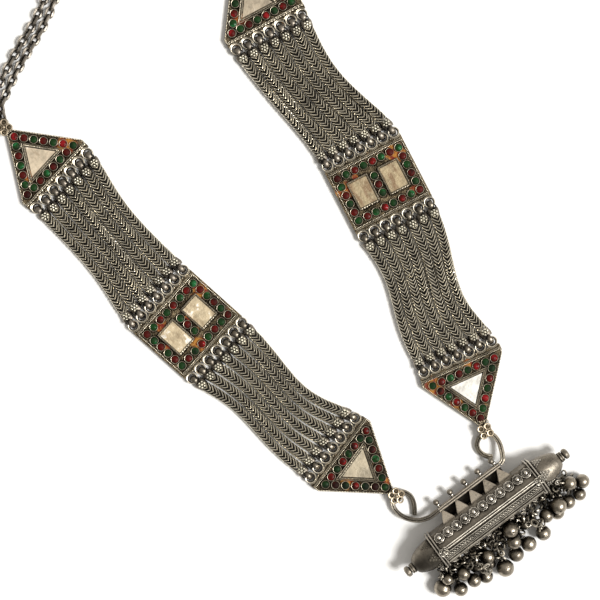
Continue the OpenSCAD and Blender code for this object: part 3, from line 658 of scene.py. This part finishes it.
def at_pose(name, part, leaning=True):
    """A part in a plaque's own frame, turned and moved to where that plaque lies. A plaque that leans first
    slides its points sideways by the lean times their distance from its eyes."""
    x, y, angle = POSES[name]
    c, s = math.cos(math.radians(angle)), math.sin(math.radians(angle))
    points, quads, triangles = part
    if leaning and name in LEAN:
        points = points + (points[:, 1:2] - EYE_OFFSET) * (LEAN[name], 0, 0)
    return points @ np.array(((c, s, 0), (-s, c, 0), (0, 0, 1))) + (x, y, 0), quads, triangles


def rect_stones():
    """The stones of a rectangular plaque, eight by six round its edge and three down its middle: their
    places in the plaque's own frame, and which are red."""
    rows = [(i, j) for i in range(8) for j in range(6) if i in (0, 7) or j in (0, 5)]
    places = [((i - 3.5) * RECT[0] / 7, (2.5 - j) * RECT[1] / 5) for i, j in rows]
    red = [(i + j) % 2 == 0 for i, j in rows]
    return np.array(places + [(0, j * RECT[1] / 5) for j in (-1, 0, 1)]), np.array(red + [False, True, False])


def tri_stones(green_tip):
    """The stones of a triangular plaque, eight along its base, five down each side and one at its tip: their
    places in the plaque's own frame, and which are red."""
    base = [((i - 3.5) * TRI[0] / 7, 0) for i in range(8)]
    sides = [(way * TRI[0] / 2 * (1 - n / 6), -TRI[1] * n / 6) for way in (1, -1) for n in range(1, 6)]
    red = [i % 2 == 1 for i in range(8)]
    red += [n % 2 == odd for odd in (0, 1) for n in range(1, 6)]
    return np.array(base + sides + [(0, -TRI[1])]), np.array(red + [not green_tip])


def stones_of(name):
    """The places of a plaque's stones, and which are red."""
    return tri_stones(name == "lower_left") if name in TIPS else rect_stones()


def eye_rows(name):
    """Where a plaque's rows of eyes lie: behind a triangle's base, or on both long sides of a rectangle."""
    return (EYE_OFFSET,) if name in TIPS else (-RECT[1] / 2 - EYE_OFFSET, RECT[1] / 2 + EYE_OFFSET)


def with_z(places, z):
    """Flat places with a height added to each."""
    places = np.atleast_2d(places)
    return np.concatenate((places, np.full((len(places), 1), float(z))), 1)


def outline(corners, step):
    """Points every step or so along a closed outline."""
    corners = np.asarray(corners, float)
    spans = list(zip(corners, np.roll(corners, -1, 0)))
    counts = [max(2, round(np.linalg.norm(b - a) / step)) for a, b in spans]
    return np.concatenate([straight(a, b, n + 1)[:-1] for (a, b), n in zip(spans, counts)])


def gone_along(line):
    """The length gone along a line at each of its points."""
    return np.concatenate(([0], np.cumsum(np.linalg.norm(np.diff(line, axis=0), axis=1))))


def rope(corners, z, closed=True):
    """Two wires twisted round each other along a flat outline: each is off the line by its radius, at an
    angle that grows by a full turn each pitch."""
    line = with_z(outline(corners, ROPE_PITCH / 5), z) if closed else with_z(corners, z)
    side = unit(np.cross(heading(line, closed), (0, 0, 1)))
    gone = gone_along(line)
    total = gone[-1] + (np.linalg.norm(line[0] - line[-1]) if closed else 0)
    angle = gone / total * 2 * math.pi * round(total / ROPE_PITCH)
    strands = []
    for phase in (0, math.pi):
        off = np.cos(angle + phase)[:, None] * side + np.sin(angle + phase)[:, None] * (0, 0, 1)
        strands.append(tube(line + off * ROPE_RADIUS, round_section(ROPE_RADIUS * 1.02, 6), closed=closed))
    return strands


def tri_edge(y, margin):
    """Half the width, at y, of the triangle of the stones' middles moved out by a margin: half its base
    times the share of its depth left, plus the margin times the length of its side over its depth."""
    half, depth = TRI[0] / 2, TRI[1]
    return half * (1 + y / depth) + margin * math.hypot(half, depth) / depth


def tri_inset(margin):
    """The triangle of the stones' middles moved in by a margin."""
    half, depth = TRI[0] / 2, TRI[1]
    x = tri_edge(-margin, -margin)
    tip = -depth * (1 - margin * math.hypot(half, depth) / depth / half)
    return np.array(((-x, -margin), (0, tip), (x, -margin)))


def collars(name):
    """A thin rolled edge round each stone, of slightly uneven height."""
    places = stones_of(name)[0]
    lift = 0.12 * np.sin(places[:, :1] * 7.3 + places[:, 1:2] * 3.1)
    return copies(wire_ring(1.92, 0.27, 22, 6), with_z(places, COLLET_TOP + 0.02) + lift * (0, 0, 1))


def eyes(y):
    """On a row of seven eyes: a wire round the foot of each, a thin arc between it and the stones, and a
    granule in each gap on that side."""
    back = math.copysign(1.0, y)
    places = np.stack((np.arange(-3, 4) * EYE_PITCH, np.full(7, y)), -1)
    gaps = np.stack((np.arange(-2.5, 3) * EYE_PITCH, np.full(6, y - back * 2.2)), -1)
    arc_angle = np.linspace(-2.5, -0.64, 12)
    arc = 2.95 * np.stack((np.cos(arc_angle), back * np.sin(arc_angle), 0 * arc_angle), -1)
    return [
        copies(wire_ring(2.2, 0.75, 26), with_z(places, EYE_Z - 0.75)),
        copies(tube(arc, round_section(0.22, 6)), with_z(places, EYE_Z + 1)),
        copies(ball(0.5), with_z(gaps, EYE_Z + 1.1)),
    ]


def eye_rims(name):
    """A rubbed wire round the top of each eye, in one row of seven or in two."""
    places = [(i * EYE_PITCH, y) for y in eye_rows(name) for i in range(-3, 4)]
    return at_pose(name, copies(wire_ring(2.42, 0.58, 26, 6), with_z(places, EYE_Z + 0.9)))


def edge_wires(rim, spread):
    """Beaded wire along the top edge of a box, and plain wire round its foot, spread a little wider."""
    beads = copies(ball(0.36, 4, 6), with_z(outline(rim, 0.75), TOP + 0.05))
    return [beads, tube(with_z(rim * spread, 0.6), round_section(0.35, 6), closed=True)]


golden = silver("pale_gilt_silver", (0.80, 0.67, 0.49), (0.03, 0.018, 0.01), 0.38, reach=0.0012)
rim_silver = silver("rim_silver", (0.98, 0.90, 0.74), (0.02, 0.015, 0.010), 0.36, reach=0.0006)
trim_silver = silver("trim_silver", (0.66, 0.585, 0.45), (0.02, 0.015, 0.010), 0.34, reach=0.0006)
# Where lac has oozed out: X and Y in the plaque's own frame, and the size of the spot.
LAC = {
    "lower_left": ((-9, -8, 4), (3, -22, 3)), "lower_right": ((-15, -1, 6), (-8, -12, 4), (4, 3, 3)),
    "mid_left": ((15, 6, 5), (-3, -10, 5), (-9, 9, 4), (-15, 0, 3), (4, 2, 4)),
    "mid_right": ((14, 9, 6), (-15, 4, 6), (14, -10, 4), (-8, 7, 3)),
    "upper_left": ((-14, -3, 6), (9, -6, 4)), "upper_right": ((10, -4, 5),),
}


def distance_to(finish, point):
    """The distance in millimetres from a point that is given as in the source."""
    sockets = {0: finish.place, 1: tuple((np.asarray(point) - MIDDLE) / 1000)}
    return 1000 * finish.add("ShaderNodeVectorMath", {"operation": "DISTANCE"}, sockets, "Value")


def lac_ground(name):
    """Tarnished sheet, brown in blotches. Where lac oozed out, it is orange and red: there the share is the
    largest of 1 less the distance to a spot over its size, and a noise breaks its edge."""
    finish = Finish("ground_" + name, specular_ior_level=0.1)
    blotch = finish.noise(260, 4)
    fine = finish.noise(1700, 3)
    wear_and_shade = (finish.sky(0.002) * 1.9 + blotch * 1.5 + fine - 2.4).between(0.1, 1.0)
    light = colour(0.11, 0.085, 0.055) if name == "lower_left" else colour(0.18, 0.14, 0.085)
    metal = finish.mix(wear_and_shade, colour(0.008, 0.006, 0.004), light)
    spot = 0
    for x, y, size in LAC[name]:
        place = at_pose(name, (np.array(((x, y, 4.0),)), None, None))[0][0]
        spot = (1 - distance_to(finish, place) * (1 / size)).math("MAXIMUM", spot)
    lac = (spot + blotch * 1.4 - 0.75).between(0.1, 0.5)
    red, orange = colour(0.20, 0.022, 0.012), colour(0.46, 0.20, 0.035)
    hue = finish.mix(finish.noise(500, 2).between(0.4, 0.6), red, orange)
    finish.set(base_color=finish.mix(lac * 0.85, metal, hue), metallic=1 - lac, roughness=0.5 - 0.12 * wear_and_shade)
    finish.bump(fine + blotch, 0.0003)
    return finish


def tri_trim(name):
    """The wires of a triangular plaque: collars, a rope and a plain wire round the mirror, those of the
    edge, a rope before the eyes, and the eyes' own."""
    margin = 2.9
    half_base = 20.0
    low = -TRI[1] - 3.2
    half_tip = tri_edge(low, margin)
    right = np.array(((half_tip, low), (half_base, 1.0), (half_base, margin)))
    rim = np.concatenate((right[::-1] * (-1, 1), right))
    mirror_edge = with_z(outline(tri_inset(2.5), 1), COLLET_TOP - 0.1)
    parts = [collars(name)]
    parts += rope(tri_inset(3.3), COLLET_TOP + 0.05)
    parts.append(tube(mirror_edge, round_section(0.2, 6), closed=True))
    parts += edge_wires(rim, (1.012, 1.0))
    parts += rope(straight((-half_base, 3.6), (half_base, 3.6), 150), TOP + 0.1, closed=False)
    parts += eyes(EYE_OFFSET)
    return [at_pose(name, part) for part in parts]


def rect_trim(name):
    """The wires of a rectangular plaque: collars, a rope round each mirror, those of the edge, and on each
    long side a rope and those of the eyes."""
    parts = [collars(name)]
    for middle in (-8, 8):
        parts += rope(BOX_CORNERS * (5, 6.75) + (middle, 0), COLLET_TOP + 0.05)
    half = RECT / 2 + 2.85
    parts += edge_wires(BOX_CORNERS * half, 1.012)
    for side in (-1, 1):
        y = side * (RECT[1] / 2 + 3.6)
        parts += rope(straight((-half[0], y), (half[0], y), 150), TOP + 0.1, closed=False)
        parts += eyes(side * (RECT[1] / 2 + EYE_OFFSET))
    return [at_pose(name, part) for part in parts]


def cluster(name):
    """Gilt circlets, each with a smaller one in it, round a large granule and among four small ones, heaped
    over the ring at a triangular plaque's tip. The lower right plaque has a second such heap further in."""
    middle, back = TIPS[name]
    middle = np.array(middle, float)
    at = middle + unit(-middle) * back
    z = EYE_Z + 3
    petals = with_z(at, z) + circle(2.35, 5 if name == "lower_left" else 4, math.pi / 4)
    parts = [
        copies(wire_ring(1.35, 0.75, 18, 7), petals),
        copies(wire_ring(0.5, 0.3, 10, 5), petals - (0, 0, 0.2)),
        copies(ball(0.85), with_z(at, z + 0.4)),
        copies(ball(0.5), with_z(at, z + 0.1) + circle(2.5, 4)),
    ]
    if name == "lower_right":
        second = with_z((-1.9, -25.9), COLLET_TOP + 0.2) + circle(1.5, 4, 0.3)
        parts += [copies(wire_ring(0.95, 0.5, 16, 6), second), copies(ball(0.5), second)]
    return [at_pose(name, part, False) for part in parts]


for name in POSES:
    trim = tri_trim(name) if name in TIPS else rect_trim(name)
    new_piece("trim_" + name, trim, trim_silver)
    new_piece("eye_rims_" + name, [eye_rims(name)], rim_silver)
    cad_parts["plaque_" + name].material_slots[0].material = lac_ground(name).material
    if name in TIPS:
        new_piece("tip_flower_" + name, cluster(name), golden)


# Stones: low domes of red and green glass over foil, cut by hand, so each has its own depth of colour.
# Each lies in its collet, under the rolled edge of the collar. Below is the middle of the grimy ones.
GRIMY_PLACE = (-33.7, 52.0, 4.5)


def glass(name, deep, lit, vivid):
    """Old glass: each stone has its own depth of colour and its own polish, and its edge by the collar is
    painted darker, as shade where the collar hides the sky. Grime lies on those of the lower left plaque."""
    finish = Finish(name, specular_ior_level=0.1, ior=1.5)
    each = finish.noise(190, 1)
    cloud = finish.noise(700, 3)
    grime = 1 - distance_to(finish, GRIMY_PLACE).between(26, 32)
    # The sky term darkens each stone next to its collar: painted shade.
    depth = (each * 3.4 + cloud * 1.1 + finish.sky(0.0018) * 1.8 - 3.2 - 0.35 * grime).between(0, 1)
    tone = finish.mix(depth, colour(*deep), colour(*lit))
    finish.set(base_color=finish.mix((each + 0.3 * cloud).between(0.72, 0.86), tone, colour(*vivid)))
    finish.set(roughness=0.12 + 0.45 * (1 - each).between(0.36, 0.56))
    finish.bump(cloud, 0.0002)
    return finish


ruby = glass("ruby_glass", (0.014, 0.003, 0.002), (0.075, 0.006, 0.004), (0.22, 0.010, 0.012))
emerald = glass("emerald_glass", (0.004, 0.009, 0.004), (0.010, 0.038, 0.009), (0.016, 0.12, 0.038))
dome_angle = np.linspace(0, math.pi / 2, 8)[1:-1]
dome = np.stack((1.72 * np.cos(dome_angle), 0.75 + 0.75 * np.sin(dome_angle)), -1)
foot = [(0.001, 0), (1.62, 0), (1.62, 0.7), (1.72, 0.72)]
stone = turned(foot + dome.tolist() + [(0.001, 1.5)], 20)
for name in POSES:
    places, red = stones_of(name)
    for tint, finish, mask in (("red", ruby, red), ("green", emerald, ~red)):
        part = at_pose(name, copies(stone, with_z(places[mask], 3.1)))
        node = tint + "_stones_" + name
        new_piece(node + "_cut", [part], finish, "ruby_glass" if tint == "red" else "emerald_glass", (node,))

# Mirrors: thin glass over old foil, cream and spotted, with rust in streaks, let into the plaques' frames.
# The table gives the foil's tint, the share of it with painted glare, white that stands for the lamps'
# reflection, and the share that rust covers.
MIRRORS = {
    "mirror_lower_left": ((0.48, 0.41, 0.29), 0.3, 0.1),
    "mirror_lower_right": ((0.80, 0.78, 0.72), 0.44, 0),
    "mirrors_mid_left": ((0.66, 0.54, 0.35), 0.46, 0.4),
    "mirrors_mid_right": ((0.42, 0.33, 0.19), 0.26, 0.8),
    "mirror_upper_left": ((0.66, 0.55, 0.40), 0.35, 0.35),
    "mirror_upper_right": ((0.46, 0.385, 0.28), 0.3, 0.2),
}


def old_mirror(name, tint, painted_glare, rust):
    """Foil behind thin glass: its tint in clouds, painted white glare, a reflection of the lamps, where the
    painted glare share is, and brown streaks by the rust share. Small stains lie in its creases."""
    finish = Finish(name, metallic=0.15, coat_weight=0.4, coat_roughness=0.15)
    cloud = finish.noise(200, 4)
    crease = finish.noise(650, 3)
    long_way = finish.add("ShaderNodeMapping", None, {"Vector": finish.place, "Scale": (1, 0.3, 1)})
    streak = finish.noise(420, 4, long_way)
    dim = colour(*(0.6 * v for v in tint))
    foil = finish.mix((cloud + 0.4 * crease).between(0.45, 0.85), dim, colour(*tint))
    lit = finish.mix(cloud.between(1 - painted_glare, 1.12 - painted_glare), foil, colour(0.97, 0.95, 0.88))
    rusty = finish.mix((streak + rust * 0.12).between(0.54, 0.72) * rust, lit, colour(0.19, 0.105, 0.045))
    finish.set(base_color=finish.mix(crease.between(0.62, 0.7) * 0.45, rusty, colour(0.2, 0.16, 0.1)))
    finish.set(roughness=0.3 + 0.3 * cloud)
    finish.bump(crease, 0.0003)
    return finish


for node, look in MIRRORS.items():
    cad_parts[node].material_slots[0].material = old_mirror("glass_of_" + node, *look).material


# Straps: seven woven chains each, bent loops of drawn wire in a row of arrowheads that point to the amulet.
# A plain cap closes each end, with a heap of granules on it and a polished loop through the plaque's eye.
def turn_flat(angle, v):
    """A flat vector turned by an angle in degrees."""
    a = np.radians(angle)
    return np.stack((v[0] * np.cos(a) - v[1] * np.sin(a), v[0] * np.sin(a) + v[1] * np.cos(a)), -1)


def eye_row(name, side=1):
    """The middle of a plaque's row of eyes: the plaque's place, plus or less the row's turned offset."""
    x, y, angle = POSES[name]
    return np.array((x, y)) + side * turn_flat(angle, (0, eye_rows(name)[-1]))


# The upper row of eyes and its turn, the lower row and its turn, the bow, its skew, and the narrowing.
STRAPS = {
    "lower_left": (eye_row("mid_left", -1), 11.3, eye_row("lower_left"), 16.3, -1.2, -4.8, 0.2),
    "lower_right": (eye_row("mid_right", -1), -9.7, eye_row("lower_right"), -12.5, -1.6, -5.6, 0.17),
    "upper_left": (eye_row("upper_left"), 10.4, eye_row("mid_left"), 11.3, -0.2, 2, 0.16),
    "upper_right": (eye_row("upper_right"), -8.9, eye_row("mid_right"), -9.7, -2.3, 0, 0.14),
}


def waist(share, narrow):
    """A strap's width over that of its ends: 1 less the narrowing times the mean of the hump and its
    square. The hump is 0 at the ends and 1 halfway."""
    hump = 4 * share * (1 - share)
    return 1 - narrow * (hump ** 2 + hump) / 2


def strap_line(strap, across, share):
    """The middle line of one chain: a cubic from row to row, whose end slopes lean 0.6 towards the rows' own
    directions, plus the place across the row, which narrows, plus a sideways bow that is skewed."""
    upper, upper_turn, lower, lower_turn, bow, skew, narrow = strap
    chord = lower - upper
    reach = np.linalg.norm(chord)
    leave = (0.4 * chord / reach + 0.6 * turn_flat(upper_turn, (0, -1))) * reach
    arrive = (0.4 * chord / reach + 0.6 * turn_flat(lower_turn, (0, -1))) * reach
    s = share[:, None]
    centre = (2 * s ** 3 - 3 * s ** 2 + 1) * upper + (s ** 3 - 2 * s ** 2 + s) * leave
    centre = centre + (3 * s ** 2 - 2 * s ** 3) * lower + (s ** 3 - s ** 2) * arrive
    row = turn_flat(upper_turn * (1 - share) + lower_turn * share, (1, 0))
    hump = 16 * s ** 2 * (1 - s) ** 2
    return with_z(centre + row * (across * waist(s, narrow) + hump * (bow + skew * (2 * s - 1))), EYE_Z)


def at_length(line, gone, where):
    """Points of a line, whose lengths gone are given, at the lengths where."""
    return np.stack([np.interp(where, gone, column) for column in line.T], -1)


WIRE_RADIUS = 0.31
ARROW_PITCH = 1.75
ARROW_SWEEP = 3.8
ARROW_HALF_ANGLE = math.radians(112)
CHAIN_HALF_WIDTH = 2.8
CHAIN_HALF_HEIGHT = 1.9


def woven_chain(line, roll, half_width):
    """One woven chain on a line. A link is an arrowhead of wire: at angle a from the top it lies on an oval
    round the line, and falls back along it by the sweep times a over a right angle. Its ends dip into the
    oval. Every second row of links has its point below, half a pitch on. Sines make the links uneven."""
    gone = gone_along(line)
    total = gone[-1]
    count = int(total / ARROW_PITCH)
    number = np.arange(count)
    share = np.linspace(-1, 1, 11)
    angle = share * ARROW_HALF_ANGLE
    section = round_section(WIRE_RADIUS, 5)
    parts = []
    for flip in (0, 1):
        tip = (number + 0.5 + 0.5 * flip) * total / count + 0.13 * np.sin(number * 2.7 + 3 * flip)
        sweep = ARROW_SWEEP * (1 + 0.09 * np.sin(number * 5.1 + flip))[:, None]
        back = sweep * (np.sqrt(angle ** 2 + 0.01) - 0.1) / (math.pi / 2)
        where = np.clip(tip[:, None] - back + ARROW_SWEEP * 0.5, 0, total)
        flat_line = line[:, :2]
        along = unit(at_length(flat_line, gone, where + 0.5) - at_length(flat_line, gone, where - 0.5))
        side = np.stack((along[..., 1], -along[..., 0], 0 * where), -1)
        turn = angle + math.pi * flip + np.interp(where, (0, total / 2, total), np.radians(roll))
        sideways, upwards = np.sin(turn)[..., None] * side, np.cos(turn)[..., None] * (0, 0, 1)
        size = (1 - 0.3 * share ** 4) * np.minimum(1, 0.92 + 0.08 * np.minimum(where, total - where) / 5)
        width = size * (np.interp(where, gone, half_width) - WIRE_RADIUS)
        height = size * (CHAIN_HALF_HEIGHT - WIRE_RADIUS)
        middle = at_length(line, gone, where) + width[..., None] * sideways + height[..., None] * upwards
        tangent = np.gradient(middle, axis=1)
        flat = unit(np.cross(tangent, sideways + upwards))
        lift = unit(np.cross(flat, tangent))
        rings = middle[:, :, None] + section[:, :1] * flat[:, :, None] + section[:, 1:] * lift[:, :, None]
        steps, sides = rings.shape[1:3]
        quads = grid(rings[0], False, True)[1]
        fan = np.arange(1, sides - 1)
        first = np.stack((0 * fan, fan, fan + 1), -1)
        last = np.stack((0 * fan, fan + 1, fan), -1) + (steps - 1) * sides
        shift = (number * steps * sides)[:, None, None]
        ends = (np.concatenate((first, last)) + shift).reshape(-1, 3)
        parts.append((rings.reshape(-1, 3), (quads + shift).reshape(-1, 4), ends))
    return parts


chain_silver = silver("chain_silver", (1.0, 0.93, 0.77), (0.010, 0.008, 0.006), 0.23, 0.6, 0.0008)
polished = silver("polished_silver", (0.25, 0.22, 0.175), (0.010, 0.009, 0.008), 0.34, reach=0.003)
cap_silver = silver("cap_silver", (0.30, 0.265, 0.22), (0.012, 0.010, 0.008), 0.4, reach=0.002)
pale_silver = silver("pale_silver", (1.0, 0.95, 0.79), (0.05, 0.04, 0.025), 0.38, reach=0.0006)
chain_seed = np.random.default_rng(7)
BARE_END = 5
CAP_LENGTH = 4


def chain_end(eye, out):
    """The loop through the eye, the flattened cap and its granules, along the way out of the eye. The loop
    goes round in the plane of the way out and up, and the cap's half width and height change along it."""
    angle = full_turn(28)
    ring = eye + 1.55 * out + 1.85 * (np.cos(angle)[:, None] * out + np.sin(angle)[:, None] * (0, 0, 1))
    loop = tube(ring, round_section(0.6, 12, 2.1), up=(out[1], -out[0], 0), closed=True)
    share = np.linspace(0, 1, 7)
    width = np.interp(share, (0, 0.3, 1), (2.5, 2.85, 2.45))
    height = np.interp(share, (0, 0.3, 1), (1.0, 1.5, 1.7))
    angle = full_turn(12)
    section = np.stack((width[:, None] * np.cos(angle), height[:, None] * np.sin(angle)), -1)
    cap = tube(eye + (2.95 + CAP_LENGTH * share)[:, None] * out, section)
    heap = eye + 5.5 * out + (0, 0, 1.45)
    granules = [copies(ball(0.68), heap + circle(1.3, 6)), copies(ball(0.75), heap + (0, 0, 0.35))]
    return loop, cap, granules


for name, strap in STRAPS.items():
    weave, shade_cores, loops, caps, heaps = [], [], [], [], []
    for i in range(-3, 4):
        share = np.linspace(0, 1, 120)
        line = strap_line(strap, i * EYE_PITCH, share)
        gone = gone_along(line)
        woven = (gone > BARE_END) & (gone < gone[-1] - BARE_END)
        inner, room = line[woven], waist(share, strap[-1])[woven]
        # Each chain rolls by chance at both ends and in its middle, where some roll over further.
        roll = chain_seed.uniform(-18, 18, 3) + (0, chain_seed.choice((0, 0, 25, -25)), 0)
        weave += woven_chain(inner, roll, CHAIN_HALF_WIDTH * room)
        # A near-black core along each chain: painted shade that darkens what shows between the links and
        # between the chains.
        shade_cores.append(tube(inner[::6], round_section(2.05, 10, 0.55) * room[::6, None, None]))
        for eye, ahead, reach, off in ((line[0], line[12], 2.6, 1.1), (line[-1], line[-13], 3, 1.3)):
            out = unit(ahead - eye)
            loop, cap, granules = chain_end(eye, out)
            loops.append(loop)
            caps.append(cap)
            heaps += granules
            # A small near-black ring beside each end loop: painted shadow in the loop's hollow.
            beside = eye + reach * out + off * np.array((-out[1], out[0], 0)) + (0, 0, 1.9)
            shade_cores.append(copies(wire_ring(0.75, 0.7, 14, 6), beside))
    node = "strap_" + name
    loop_silver = polished if name.startswith("lower") else cap_silver
    new_piece("woven_chains_" + name, weave, chain_silver, "old_silver", (node,))
    new_piece("chain_cores_" + name, shade_cores, painted_shade_silver, "old_silver", (node,))
    new_piece("chain_loops_" + name, loops, loop_silver, "silver", (node,))
    new_piece("chain_caps_" + name, caps, cap_silver, "silver", (node,))
    new_piece("granules_" + name, heaps, pale_silver, "silver", (node,))

# End rings and back chains: a plain ring through each upper tip ring carries two cable chains of oval links,
# which lie side by side round the neck.
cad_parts["end_ring_left"].material_slots[0].material = plain_silver.material
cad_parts["end_ring_right"].material_slots[0].material = plain_silver.material
# X and Y of the line between the two chains.
BACK_ROUTE = (
    (-66, 289), (-57, 294), (-49, 298), (-40, 302), (-30, 306), (-21, 310.5), (-12, 316), (0, 324),
    (14, 334), (30, 346), (48, 357), (66, 364), (82, 365), (95, 357), (102, 343), (103, 326), (98, 310),
    (89, 296), (78, 286),
)
LINK_PITCH = 3.65


def end_ring_middle(name):
    """The end ring's middle, 2.6 beyond that of the tip ring that it passes through."""
    x, y, angle = POSES[name]
    return np.array((x, y)) + turn_flat(angle, (0, TIPS[name][0][1] - 2.6))


def cable_chain(side):
    """Oval links every pitch along the back route, shifted to one side, each turned against the last. An
    oval is two half ellipses, moved apart along the chain."""
    route = np.array(BACK_ROUTE, float)
    smooth = spline(route, 8)
    along = unit(np.gradient(smooth, axis=0))
    line = smooth + side * 2.35 * np.stack((-along[:, 1], along[:, 0]), -1)
    ends = []
    for name, towards, way in (("upper_left", route[0], side), ("upper_right", route[-1], -side)):
        ring = end_ring_middle(name)
        out = unit(towards - ring)
        across = np.array((-out[1], out[0]))
        ends.append(ring + 3 * (out * math.cos(math.radians(30)) + across * way * 0.5) + out * 1.4)
    line = np.concatenate((ends[:1], line, ends[1:]))
    gone = gone_along(line)
    count = round(gone[-1] / LINK_PITCH)
    where = np.linspace(0, gone[-1], count + 1)
    x = with_z(unit(at_length(line, gone, where + 1) - at_length(line, gone, where - 1)), 0)
    flat = np.stack((-x[:, 1], x[:, 0], 0 * where), -1)
    odd = np.arange(count + 1) % 2
    roll = np.radians(np.where(odd, 55 + 7 * np.sin(where * 0.9), -55 + 7 * np.cos(where * 0.7)))
    y = np.cos(roll)[:, None] * flat + np.sin(roll)[:, None] * (0, 0, 1)
    angle = full_turn(20)
    oval = np.stack((np.sign(np.cos(angle)) * 0.7 + 1.65 * np.cos(angle), 1.8 * np.sin(angle), 0 * angle), -1)
    link = tube(oval, round_section(0.7, 6), closed=True)
    return copies(link, with_z(at_length(line, gone, where), 2.35), basis(x, y))


cable_silver = silver("cable_silver", (0.37, 0.33, 0.28), (0.014, 0.012, 0.009), 0.36, 0.6, 0.003)
for node, side in (("back_chain_inner", -1), ("back_chain_outer", 1)):
    new_piece(node + "_links", [cable_chain(side)], cable_silver, "old_silver", (node,))
